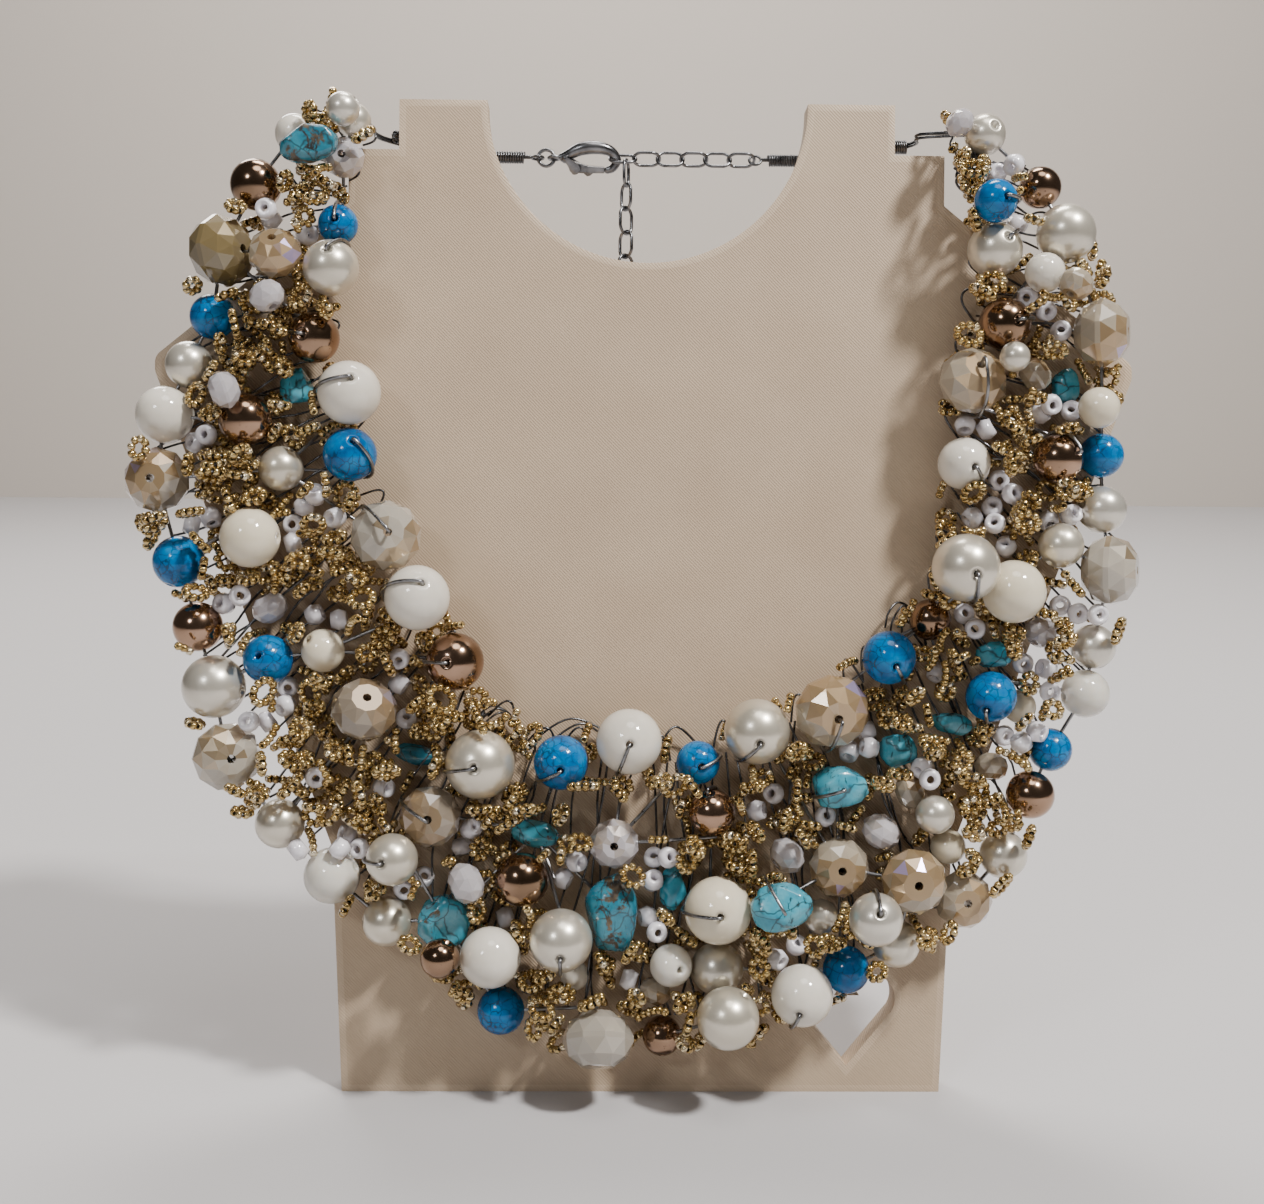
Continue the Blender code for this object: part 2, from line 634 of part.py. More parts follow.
class Crowd:
    """The beads and wires that are already placed."""

    def __init__(self):
        self.centres = np.zeros((0, 3))
        self.hulls = np.zeros((0, 3, 3))
        self.starts = np.zeros((0, 3))
        self.ends = np.zeros((0, 3))
        self.radii = np.zeros(0)

    def add_bead(self, centre, hull):
        self.centres = np.vstack([self.centres, centre])
        self.hulls = np.concatenate([self.hulls, hull[None]])

    def add_wire(self, start, end, radius):
        self.starts = np.vstack([self.starts, start])
        self.ends = np.vstack([self.ends, end])
        self.radii = np.append(self.radii, radius)

    def bead_clear(self, centre, hull):
        if len(self.centres):
            apart = self.centres - centre
            distance = np.linalg.norm(apart, axis=1)
            way = apart / np.maximum(distance, 1e-9)[:, None]
            own = np.linalg.norm(way @ hull.T, axis=1)
            other = np.linalg.norm(np.einsum("nij,nj->ni", self.hulls, way), axis=1)
            if np.any(distance < own + other + GAP):
                return False
        if len(self.starts):
            near = nearest_on_segments(self.starts, self.ends, centre)
            apart = near - centre
            distance = np.linalg.norm(apart, axis=1)
            way = apart / np.maximum(distance, 1e-9)[:, None]
            own = np.linalg.norm(way @ hull.T, axis=1)
            if np.any(distance < own + self.radii + GAP):
                return False
        return True

    def wire_clear(self, start, end, radius, skip):
        """True where a straight wire keeps clear of each bead that isn't skipped."""
        keep = [i for i in range(len(self.centres)) if i not in skip]
        if not keep:
            return True
        centres = self.centres[keep]
        along = end - start
        share = np.clip((centres - start) @ along / max(along @ along, 1e-12), 0, 1)
        near = start + share[:, None] * along
        apart = near - centres
        distance = np.linalg.norm(apart, axis=1)
        way = apart / np.maximum(distance, 1e-9)[:, None]
        reach = np.linalg.norm(np.einsum("nij,nj->ni", self.hulls[keep], way), axis=1)
        return not np.any(distance < reach + radius + GAP)


def nearest_on_segments(starts, ends, point):
    along = ends - starts
    length = np.maximum(np.einsum("ni,ni->n", along, along), 1e-12)
    share = np.clip(np.einsum("ni,ni->n", point - starts, along) / length, 0, 1)
    return starts + share[:, None] * along


def back_reach(hull):
    return float(np.linalg.norm(hull @ np.array([0.0, 1.0, 0.0])))


def is_left(centre):
    return centre[0] < 0


def place_net_beads(crowd):
    """Centres of the net's beads, the ones nearest the board first."""
    centres = {}
    for bead in sorted(NET_BEADS, key=lambda row: row.rise):
        hull = bead_hull(bead)
        lift = bead.rise * MM + back_reach(hull)
        while not crowd.bead_clear(bead_place(bead, lift), hull):
            lift += RISE_STEP
        centres[bead] = bead_place(bead, lift)
        crowd.add_bead(centres[bead], hull)
    return centres


def link_net_beads(centres, crowd):
    """The shortest wires that tie each side's beads into one net."""
    order = list(centres)
    wires = []
    for left in (True, False):
        side = [i for i, bead in enumerate(order) if is_left(centres[bead]) == left]
        tied = [side[0]]
        loose = side[1:]
        while loose:
            pairs = [(np.linalg.norm(centres[order[a]] - centres[order[b]]), a, b)
                     for a in tied for b in loose]
            pairs.sort()
            clear = [pair for pair in pairs[:NEAREST_PAIRS]
                     if crowd.wire_clear(centres[order[pair[1]]], centres[order[pair[2]]],
                                         NET_WIRE_RADIUS, side)]
            _, a, b = (clear or pairs)[0]
            wires.append((centres[order[a]], centres[order[b]], left))
            tied.append(b)
            loose.remove(b)
    for start, end, _ in wires:
        crowd.add_wire(start, end, NET_WIRE_RADIUS)
    return wires


def post_ends(bead, centre):
    """Where a bead's own wire turns into the net behind it, and where it ends in front."""
    axis = bead_turn(bead)[:, 2]
    deep = bead_semi_axes(bead)[2]
    behind = centre - axis * (deep + GAP + 2 * POST_WIRE_RADIUS)
    front = centre + axis * (deep + WIRE_TIP)
    return behind, front


def find_arm(bead, centre, crowd, net_count, net_centres):
    """The nearest bead of the net from which a straight wire reaches the back of this bead."""
    behind, front = post_ends(bead, centre)
    elbow = behind + bead_turn(bead)[:, 2] * POST_WIRE_RADIUS
    floor = board_face() - POST_WIRE_RADIUS - GAP
    if behind[1] > floor or not crowd.wire_clear(front, front, POST_WIRE_RADIUS, []):
        return None
    nearest = np.argsort(np.linalg.norm(net_centres - behind, axis=1))[:NEAREST_BEADS]
    for index in nearest:
        side = [i for i in range(net_count) if is_left(net_centres[i]) == is_left(net_centres[index])]
        start = net_centres[index]
        if (crowd.wire_clear(start, behind, POST_WIRE_RADIUS, side)
                and own_clear(start, behind, centre, bead)
                and crowd.wire_clear(behind, elbow, POST_WIRE_RADIUS, side)):
            return int(index), behind, front
    return None


def own_clear(start, end, centre, bead):
    """True where the arm passes behind the bead that it carries."""
    wide, _, deep = bead_semi_axes(bead)
    turn = bead_turn(bead).T
    hull = np.diag(bead_semi_axes(bead)) @ turn
    margin = POST_WIRE_RADIUS + GAP / 2
    for share in np.linspace(0, 1, ARM_TESTS):
        apart = start + (end - start) * share - centre
        x, y, z = turn @ apart
        distance = np.linalg.norm(apart)
        reach = float(np.linalg.norm(hull @ apart)) / distance
        beside = math.hypot(x, y) >= wide + margin or abs(z) >= deep + margin
        if distance < reach + margin or (bead.kind == "rondelle" and not beside):
            return False
    return True


def place_main_beads(crowd, net_centres):
    """Each main bead's centre and the wire that carries it."""
    net_count = len(net_centres)
    placed = []
    for bead in sorted(MAIN_BEADS, key=lambda row: row.rise):
        hull = bead_hull(bead)
        lift = bead.rise * MM + back_reach(hull)
        arm = None
        while arm is None:
            centre = bead_place(bead, lift)
            if crowd.bead_clear(centre, hull):
                arm = find_arm(bead, centre, crowd, net_count, net_centres)
            lift += RISE_STEP
        index, behind, front = arm
        crowd.add_bead(centre, hull)
        crowd.add_wire(net_centres[index], behind, POST_WIRE_RADIUS)
        crowd.add_wire(front, front, POST_WIRE_RADIUS)
        placed.append((bead, centre, index, behind, front))
    return placed


# Net with its wire ends


def add_rod(shape, start, end, radius):
    """A straight piece of wire."""
    start = Vector(start)
    end = Vector(end)
    way = end - start
    place = way.to_track_quat("Z", "Y").to_matrix().to_4x4()
    place.translation = (start + end) / 2
    bmesh.ops.create_cone(shape, cap_ends=True, segments=WIRE_SIDES, radius1=radius, radius2=radius,
                          depth=way.length, matrix=place)


def add_mesh(shape, mesh, matrix=None):
    if matrix is not None:
        mesh.transform(matrix)
    shape.from_mesh(mesh)
    bpy.data.meshes.remove(mesh)


def ring_mesh(name, radius, wire_radius, straight=0.0):
    """A ring about z, drawn out along x into a link by its straight length."""
    bpy.ops.mesh.primitive_torus_add(major_segments=LINK_SEGMENTS, minor_segments=WIRE_SIDES,
                                     major_radius=radius, minor_radius=wire_radius)
    thing = bpy.context.object
    mesh = thing.data
    bpy.data.objects.remove(thing, do_unlink=True)
    mesh.transform(Matrix.Rotation(math.pi / LINK_SEGMENTS, 4, "Z"))
    for vertex in mesh.vertices:
        vertex.co.x += math.copysign(straight / 2, vertex.co.x)
    mesh.name = name
    return mesh


def chain_y():
    return BOARD_THICKNESS / 2 + CHAIN_SETBACK


def chain_z():
    return board_top() - CHAIN_DROP


def link_half_length():
    """Middle of a link to the middle of its end wire."""
    return LINK_HALF_WIDTH - CHAIN_WIRE_RADIUS + LINK_STRAIGHT / 2


def link_pitch():
    return 2 * (link_half_length() - CHAIN_WIRE_RADIUS) + LINK_BITE


def run_tilt(index):
    """A run link's turn about the chain: each is square to the next, so that all show open."""
    if index == 0:
        return HOOKED_LINK_TILT
    return LINK_TILT if index % 2 else LINK_TILT - math.pi / 2


def joined_pitch(half_a, wire_a, half_b, wire_b):
    """Middle to middle of two interlocked rings that keep the gap."""
    return half_a + half_b - wire_a - wire_b - GAP


def clasp_line():
    """Places along x of the left wire eye, ring, clasp, hooked link and right wire eye."""
    ring = joined_pitch(WIRE_EYE_RADIUS, END_WIRE_RADIUS, JUMP_RING_RADIUS, JUMP_RING_WIRE_RADIUS)
    clasp = ring + joined_pitch(JUMP_RING_RADIUS, JUMP_RING_WIRE_RADIUS,
                                CLASP_EYE_RADIUS, CLASP_EYE_WIRE_RADIUS)
    nose = clasp + CLASP_LENGTH - CLASP_TUBE_RADIUS
    hooked = (nose - CLASP_TUBE_RADIUS - GAP - CHAIN_WIRE_RADIUS) + link_half_length()
    last = hooked + (RUN_LINKS - 1) * link_pitch()
    right = last + joined_pitch(link_half_length(), CHAIN_WIRE_RADIUS, WIRE_EYE_RADIUS, END_WIRE_RADIUS)
    shift = -right / 2
    return {"left_eye": shift, "ring": ring + shift, "clasp": clasp + shift,
            "hooked": hooked + shift, "right_eye": right + shift}


def end_wire_points(side, anchor):
    """From a bead of the band over the ledge, behind the post and to the wire eye."""
    eye = clasp_line()["right_eye"] if side > 0 else clasp_line()["left_eye"]
    over = board_top() - LEDGE_DROP + (LEDGE_DROP - NECKLACE_TOP_INSET) * END_WIRE_RISE_SHARE
    ledge_x = side * (POST_HALF_SPAN + LEDGE_HALF_SPAN) / 2
    clear_y = BOARD_THICKNESS / 2 + END_WIRE_RADIUS + GAP
    return [
        tuple(anchor),
        (ledge_x, -clear_y, over),
        (ledge_x, 0, over),
        (ledge_x - side * (LEDGE_HALF_SPAN - POST_HALF_SPAN) * LEDGE_TURN_SHARE, clear_y, over),
        (side * POST_HALF_SPAN * POST_TURN_SHARE, chain_y(), (over + chain_z()) / 2),
        (side * (abs(eye) + COIL_START + COIL_LENGTH), chain_y(), chain_z()),
        (side * (abs(eye) + COIL_START), chain_y(), chain_z()),
        (side * (abs(eye) + WIRE_EYE_RADIUS), chain_y(), chain_z()),
    ]


def make_net(name, left, net_centres, beads, wires, placed, parts, cutters, materials, frame):
    """One side of the net: beads fused with their wires, and the wire end with its eye."""
    side = -1 if left else 1
    field = bmesh.new()
    top_bead = None
    for bead, centre in zip(beads, net_centres):
        if is_left(centre) != left:
            continue
        add_net_bead(field, bead, centre)
        if top_bead is None or centre[2] > top_bead[2]:
            top_bead = centre
    net = add_object(name, mesh_from_bmesh(name, field), parts, materials["bead_field"], frame)
    strand = bmesh.new()
    for start, end, on_left in wires:
        if on_left == left:
            add_rod(strand, start, end, NET_WIRE_RADIUS)
    for bead, centre, index, behind, front in placed:
        if is_left(net_centres[index]) == left:
            axis = bead_turn(bead)[:, 2]
            add_rod(strand, net_centres[index], behind, POST_WIRE_RADIUS)
            add_rod(strand, behind - axis * POST_WIRE_RADIUS * WIRE_OVERLAP_SHARE, front, POST_WIRE_RADIUS)
    path = smooth_path(end_wire_points(side, top_bead), END_WIRE_STEPS)
    add_mesh(strand, tube_mesh(name + "_end", path, END_WIRE_RADIUS, cutters))
    eye_x = clasp_line()["left_eye" if left else "right_eye"]
    eye = Matrix.Translation((eye_x, chain_y(), chain_z()))
    if not left:
        eye = eye @ Matrix.Rotation(run_tilt(RUN_LINKS - 1), 4, "X")
    add_mesh(strand, ring_mesh(name + "_eye", WIRE_EYE_RADIUS, END_WIRE_RADIUS), eye)
    wire = add_cutter(name + "_wire", mesh_from_bmesh(name + "_wire", strand), cutters, frame)
    fuse = net.modifiers.new("fuse_wire", "BOOLEAN")
    fuse.operation = "UNION"
    fuse.object = wire
    fuse.solver = "EXACT"
    fuse.use_self = True
    return net


# Coils, jump ring, clasp and chain


def make_coil(name, side, parts, materials, frame):
    """Wire wound round the end wire, turn against turn, as one ribbed sleeve."""
    inner = END_WIRE_RADIUS + GAP
    pitch = COIL_LENGTH / COIL_TURNS
    outside = []
    for turn in range(COIL_TURNS):
        top = COIL_LENGTH / 2 - turn * pitch
        outside.append((inner + COIL_WIRE_RADIUS, top))
        outside.append((inner + 2 * COIL_WIRE_RADIUS, top - pitch / 2))
    outside.append((inner + COIL_WIRE_RADIUS, -COIL_LENGTH / 2))
    profile = outside + [(inner, -COIL_LENGTH / 2), (inner, COIL_LENGTH / 2)]
    eye = clasp_line()["right_eye"] if side > 0 else clasp_line()["left_eye"]
    matrix = Matrix.Rotation(math.radians(90), 4, "Y")
    matrix.translation = (side * (abs(eye) + COIL_START + COIL_LENGTH / 2), chain_y(), chain_z())
    return turned_mesh(name, profile, COIL_SIDES, parts, materials["gunmetal"], frame, matrix, True)


def make_jump_ring(parts, materials, frame):
    mesh = ring_mesh("jump_ring", JUMP_RING_RADIUS, JUMP_RING_WIRE_RADIUS)
    place = Matrix.Rotation(math.radians(90), 4, "X")
    place.translation = (clasp_line()["ring"], chain_y(), chain_z())
    return add_object("jump_ring", mesh, parts, materials["gunmetal"], frame, place)


def clasp_matrix():
    place = Matrix.Rotation(CLASP_TILT, 4, "X")
    place.translation = (clasp_line()["clasp"], chain_y(), chain_z())
    return place


def lever_pivot():
    """The lever's pin in the clasp's own x and z."""
    return CLASP_LENGTH * PIVOT_SHARE, -CLASP_HEIGHT * PIVOT_SHARE


def hook_points():
    """The middle of the clasp's body: from the eye over the top and round the nose."""
    length = CLASP_LENGTH - CLASP_TUBE_RADIUS
    high = CLASP_HEIGHT / 2 - CLASP_TUBE_RADIUS
    return [(CLASP_EYE_RADIUS, 0, 0)] + [(length * along, 0, high * up) for along, up in HOOK_ROUTE]


def make_clasp_body(parts, cutters, materials, frame):
    path = smooth_path(hook_points(), HOOK_STEPS)
    mesh = tube_mesh("clasp_hook", path, CLASP_TUBE_RADIUS, cutters, 2)
    shape = bmesh.new()
    add_mesh(shape, mesh)
    eye_turn = Matrix.Rotation(-CLASP_TILT, 4, "X")
    add_mesh(shape, ring_mesh("clasp_eye", CLASP_EYE_RADIUS, CLASP_EYE_WIRE_RADIUS), eye_turn)
    body = add_object("clasp_body", mesh_from_bmesh("clasp_body", shape), parts,
                      materials["gunmetal"], frame, clasp_matrix())
    pivot_x, pivot_z = lever_pivot()
    inner = LEVER_THICKNESS / 2 + GAP
    cheeks = bmesh.new()
    neck_x = CLASP_LENGTH * CHEEK_REACH_SHARE
    for side in (-1, 1):
        outline = arc((pivot_x, pivot_z), LEVER_KNUCKLE_RADIUS, -110, 70, 6)
        outline += [(neck_x, CLASP_TUBE_RADIUS * CHEEK_TOP_SHARE),
                    (neck_x, -CLASP_TUBE_RADIUS * CHEEK_FOOT_SHARE)]
        plate = flat_mesh("clasp_cheek", [outline], CHEEK_THICKNESS, cutters)
        stand = Matrix.Rotation(math.radians(90), 4, "X")
        stand.translation = (0, side * (inner + CHEEK_THICKNESS / 2), 0)
        add_mesh(cheeks, plate, stand)
    add_rod(cheeks, (pivot_x, -inner - CHEEK_THICKNESS / 2, pivot_z),
            (pivot_x, inner + CHEEK_THICKNESS / 2, pivot_z), LEVER_PIN_RADIUS)
    neck = Matrix.Translation((CLASP_EYE_RADIUS + CLASP_EYE_WIRE_RADIUS + NECK_SETBACK, 0, 0))
    neck_radius = CLASP_TUBE_RADIUS * NECK_SWELL
    bmesh.ops.create_uvsphere(cheeks, u_segments=CLASP_SIDES, v_segments=6, radius=1.0,
                              matrix=neck @ Matrix.Diagonal((neck_radius, inner + CHEEK_THICKNESS,
                                                             neck_radius, 1)))
    cutter = add_cutter("clasp_cheeks", mesh_from_bmesh("clasp_cheeks", cheeks), cutters, frame)
    cutter.matrix_local = clasp_matrix()
    fuse = body.modifiers.new("fuse_cheeks", "BOOLEAN")
    fuse.operation = "UNION"
    fuse.object = cutter
    fuse.solver = "EXACT"
    fuse.use_self = True
    return body


def make_clasp_lever(parts, materials, frame):
    """The sprung lever: a knuckle on the pin, an arm to the hook's point and a thumb tab."""
    pivot_x, pivot_z = lever_pivot()
    tip_x, _, tip_z = hook_points()[-1]
    reach = tip_x - CLASP_TUBE_RADIUS * LEVER_TIP_SHARE - GAP - pivot_x
    fall = tip_z - pivot_z
    knuckle = LEVER_KNUCKLE_RADIUS
    arm = knuckle * LEVER_ARM_SHARE
    outline = arc((0, 0), knuckle, 75, 300, 9)
    outline += [(reach * along, knuckle * up) for along, up in LEVER_TAB]
    outline += [
        (reach * LEVER_ARM_START, fall - arm),
        (reach, fall - arm),
        (reach, fall + arm),
        (reach * LEVER_BACK_PLACE, knuckle * LEVER_BACK_RISE + fall * LEVER_BACK_FALL),
    ]
    hole = arc((0, 0), LEVER_PIN_RADIUS + GAP, 0, 315, 7)
    mesh = flat_mesh("clasp_lever", [outline, hole], LEVER_THICKNESS, parts)
    mesh.transform(Matrix.Rotation(math.radians(90), 4, "X"))
    place = clasp_matrix() @ Matrix.Translation((pivot_x, 0, pivot_z))
    return add_object("clasp_lever", mesh, parts, materials["gunmetal"], frame, place)


def make_chain(parts, cutters, materials, frame):
    """The extender: the run from the hooked link to the right eye and the tail that hangs."""
    mean = LINK_HALF_WIDTH - CHAIN_WIRE_RADIUS
    start = clasp_line()["hooked"]
    even = bmesh.new()
    odd = bmesh.new()
    for i in range(RUN_LINKS):
        place = Matrix.Rotation(math.radians(90) + run_tilt(i), 4, "X")
        place.translation = (start + i * link_pitch(), chain_y(), chain_z())
        add_mesh(odd if i % 2 else even,
                 ring_mesh("run_link", mean, CHAIN_WIRE_RADIUS, LINK_STRAIGHT), place)
    side_z = -math.cos(HOOKED_LINK_TILT) * mean
    side_y = math.sin(HOOKED_LINK_TILT) * mean
    tail_x = start + LINK_STRAIGHT * TAIL_SHIFT_SHARE
    for i, turn in enumerate(TAIL_TURNS):
        drop = link_half_length() - 2 * CHAIN_WIRE_RADIUS + LINK_BITE + i * link_pitch()
        place = (Matrix.Translation((tail_x, chain_y() + side_y, chain_z() + side_z - drop))
                 @ Matrix.Rotation(math.radians(turn), 4, "Z") @ Matrix.Rotation(math.radians(90), 4, "Y")
                 @ Matrix.Rotation(math.radians(90), 4, "X"))
        add_mesh(odd if i % 2 == 0 else even,
                 ring_mesh("tail_link", mean, CHAIN_WIRE_RADIUS, LINK_STRAIGHT), place)
    chain = add_object("extender_chain", mesh_from_bmesh("extender_chain", even), parts,
                       materials["gunmetal"], frame)
    cutter = add_cutter("extender_odd_links", mesh_from_bmesh("extender_odd_links", odd), cutters, frame)
    fuse = chain.modifiers.new("fuse_links", "BOOLEAN")
    fuse.operation = "UNION"
    fuse.object = cutter
    fuse.solver = "EXACT"
    return chain


def build():
    clear_scene()
    parts = make_collection("bib_necklace_on_stand")
    cutters = make_collection("cutters")
    materials = make_materials()
    frame = bpy.data.objects.new("board_frame", None)
    parts.objects.link(frame)
    frame.rotation_euler = (-BOARD_LEAN, 0, 0)
    make_board(parts, cutters, materials, frame)
    make_strut(parts, materials)

    crowd = Crowd()
    centres = place_net_beads(crowd)
    wires = link_net_beads(centres, crowd)
    beads = list(centres)
    net_centres = np.array([centres[bead] for bead in beads])
    placed = place_main_beads(crowd, net_centres)
    for name, left in (("bead_net_left", True), ("bead_net_right", False)):
        make_net(name, left, net_centres, beads, wires, placed, parts, cutters, materials, frame)
    count = {}
    for bead in MAIN_BEADS:
        centre = next(row[1] for row in placed if row[0] is bead)
        count[bead.kind] = count.get(bead.kind, 0) + 1
        name = f"{bead.kind}_{count[bead.kind]:02d}"
        make_main_bead(name, bead, centre, parts, materials, frame)

    make_coil("coil_left", -1, parts, materials, frame)
    make_coil("coil_right", 1, parts, materials, frame)
    make_jump_ring(parts, materials, frame)
    make_clasp_body(parts, cutters, materials, frame)
    make_clasp_lever(parts, materials, frame)
    make_chain(parts, cutters, materials, frame)
    bpy.context.view_layer.update()


build()
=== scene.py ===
# %% [markdown]
# # A bead bib necklace on its display board
#
# The necklace is a net of dark wire, crocheted by hand, with some hundred and twenty large
# beads and more than five thousand seed beads caught in its loops. It hangs over a flat board
# that leans back on a strut. The solid frame already holds the board, the main beads, the net
# and the clasp at their real sizes. This script dresses that frame: each bead gets its true
# drilled or cut form, the seeds and bare wires are added, and each surface gets its finish.

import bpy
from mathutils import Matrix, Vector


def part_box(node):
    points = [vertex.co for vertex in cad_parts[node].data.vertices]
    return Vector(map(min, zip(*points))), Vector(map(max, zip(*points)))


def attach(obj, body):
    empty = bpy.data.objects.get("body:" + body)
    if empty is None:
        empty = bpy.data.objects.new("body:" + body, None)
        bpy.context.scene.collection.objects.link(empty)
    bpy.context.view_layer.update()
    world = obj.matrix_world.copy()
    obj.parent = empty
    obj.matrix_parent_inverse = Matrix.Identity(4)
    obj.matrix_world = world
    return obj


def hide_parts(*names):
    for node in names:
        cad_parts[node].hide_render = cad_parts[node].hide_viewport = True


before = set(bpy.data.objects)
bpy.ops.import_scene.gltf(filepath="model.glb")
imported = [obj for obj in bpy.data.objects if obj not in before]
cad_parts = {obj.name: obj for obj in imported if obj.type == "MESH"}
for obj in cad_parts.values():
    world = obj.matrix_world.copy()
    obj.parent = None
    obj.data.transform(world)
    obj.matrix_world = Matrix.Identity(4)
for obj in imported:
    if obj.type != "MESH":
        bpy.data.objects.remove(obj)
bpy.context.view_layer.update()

import math
import random
from collections import namedtuple

import bmesh
import bpy
import numpy as np
from mathutils import Matrix, Vector, noise

MM = 0.001
BODY = "necklace_on_stand"
LEVER_BODY = "lever"


def link_object(name, data):
    """Puts an object with this data into the scene, at the origin and unturned."""
    made = bpy.data.objects.new(name, data)
    bpy.context.scene.collection.objects.link(made)
    return made


# %% [markdown]
# ## The board's own frame
#
# The board leans back eight degrees, and the necklace lies on it. It is easier to place
# beads in the board's own frame: x to the right, y into the board, z up along it. One
# matrix then turns that frame into the world. The same values as in the solids are used,
# so that every dressed bead lands on its solid.

# %% Board frame and sizes
GAP = 0.0003
BOARD_HEIGHT = 0.1776
BOARD_THICKNESS = 0.0055
BOARD_LEAN = math.radians(8.0)
NECKLACE_HALF_WIDTH = 0.0878
NECKLACE_DROP = 0.1646
NECKLACE_TOP_INSET = 0.0040
NET_WIRE_RADIUS = 0.0004
POST_WIRE_RADIUS = 0.00035
HOLE_RADIUS = POST_WIRE_RADIUS + GAP
WIRE_TIP = 0.0006
RISE_STEP = 0.0002
ARM_TESTS = 40
ARM_CHOICES = 8
PAIR_CHOICES = 40
MOST_SLANT = 0.98
RONDELLE_LENGTH_SHARE = 0.74
RONDELLE_RIM_SPREAD = 1.05
RONDELLE_TABLE_SPREAD = 1.2
NUGGET_DEPTH_SHARE = 0.80
BOARD_FACE = -BOARD_THICKNESS / 2
LEAN = Matrix.Rotation(-BOARD_LEAN, 4, "X")
print("board face stands", round(-BOARD_FACE / MM, 2), "mm in front of its middle")

# %% [markdown]
# ## The camera
#
# The stand's outline in the photo fixes the view: a phone held about 26 cm away, level with
# the upper third of the board and pitched down by some eight degrees. The lens follows from
# the focal length in pixels and the frame's width, as sensor width times one over the other.

# %% Camera
VIEW_WIDTH_PX = 1264
VIEW_HEIGHT_PX = 1204
VIEW_FOCAL_PX = 1519.8
VIEW_EYE = Vector((-0.00726, -0.26087, 0.12748))
VIEW_PITCH = math.radians(8.43)
VIEW_YAW = math.radians(1.06)
VIEW_ROLL = math.radians(0.55)
SENSOR_WIDTH_MM = 36.0
NEAREST_SEEN = 0.01


def view_axes():
    """Right, up and forward of the view, in world axes."""
    forward = Vector((math.sin(VIEW_YAW) * math.cos(VIEW_PITCH),
                      math.cos(VIEW_YAW) * math.cos(VIEW_PITCH),
                      -math.sin(VIEW_PITCH)))
    level = Vector((math.cos(VIEW_YAW), -math.sin(VIEW_YAW), 0.0))
    upright = level.cross(forward)
    right = level * math.cos(VIEW_ROLL) + upright * math.sin(VIEW_ROLL)
    up = upright * math.cos(VIEW_ROLL) - level * math.sin(VIEW_ROLL)
    return right, up, forward


def make_camera():
    right, up, forward = view_axes()
    data = bpy.data.cameras.new("view")
    data.sensor_width = SENSOR_WIDTH_MM
    data.lens = SENSOR_WIDTH_MM * VIEW_FOCAL_PX / VIEW_WIDTH_PX
    data.clip_start = NEAREST_SEEN
    camera = link_object("view", data)
    turn = Matrix((right, up, -forward)).transposed().to_4x4()
    camera.matrix_world = Matrix.Translation(VIEW_EYE) @ turn
    bpy.context.scene.camera = camera
    return data.lens


print("lens in millimetres:", round(make_camera(), 2))

# %% [markdown]
# ## The beads, one row each
#
# A row says what a bead is, where its middle shows in the photo, how wide and tall it is in
# millimetres, how far its back stands off the board at least, which way its hole points,
# and the clock direction, in degrees from the right, in which its wire bends away. Main
# beads are solids of their own, net beads are fused to the net in the frame, and small
# beads are only dressed on.

# %% Bead rows
Bead = namedtuple("Bead", "kind x y wide tall rise hole_right hole_up wire look",
                  defaults=(0.0, 0.0, None, None))

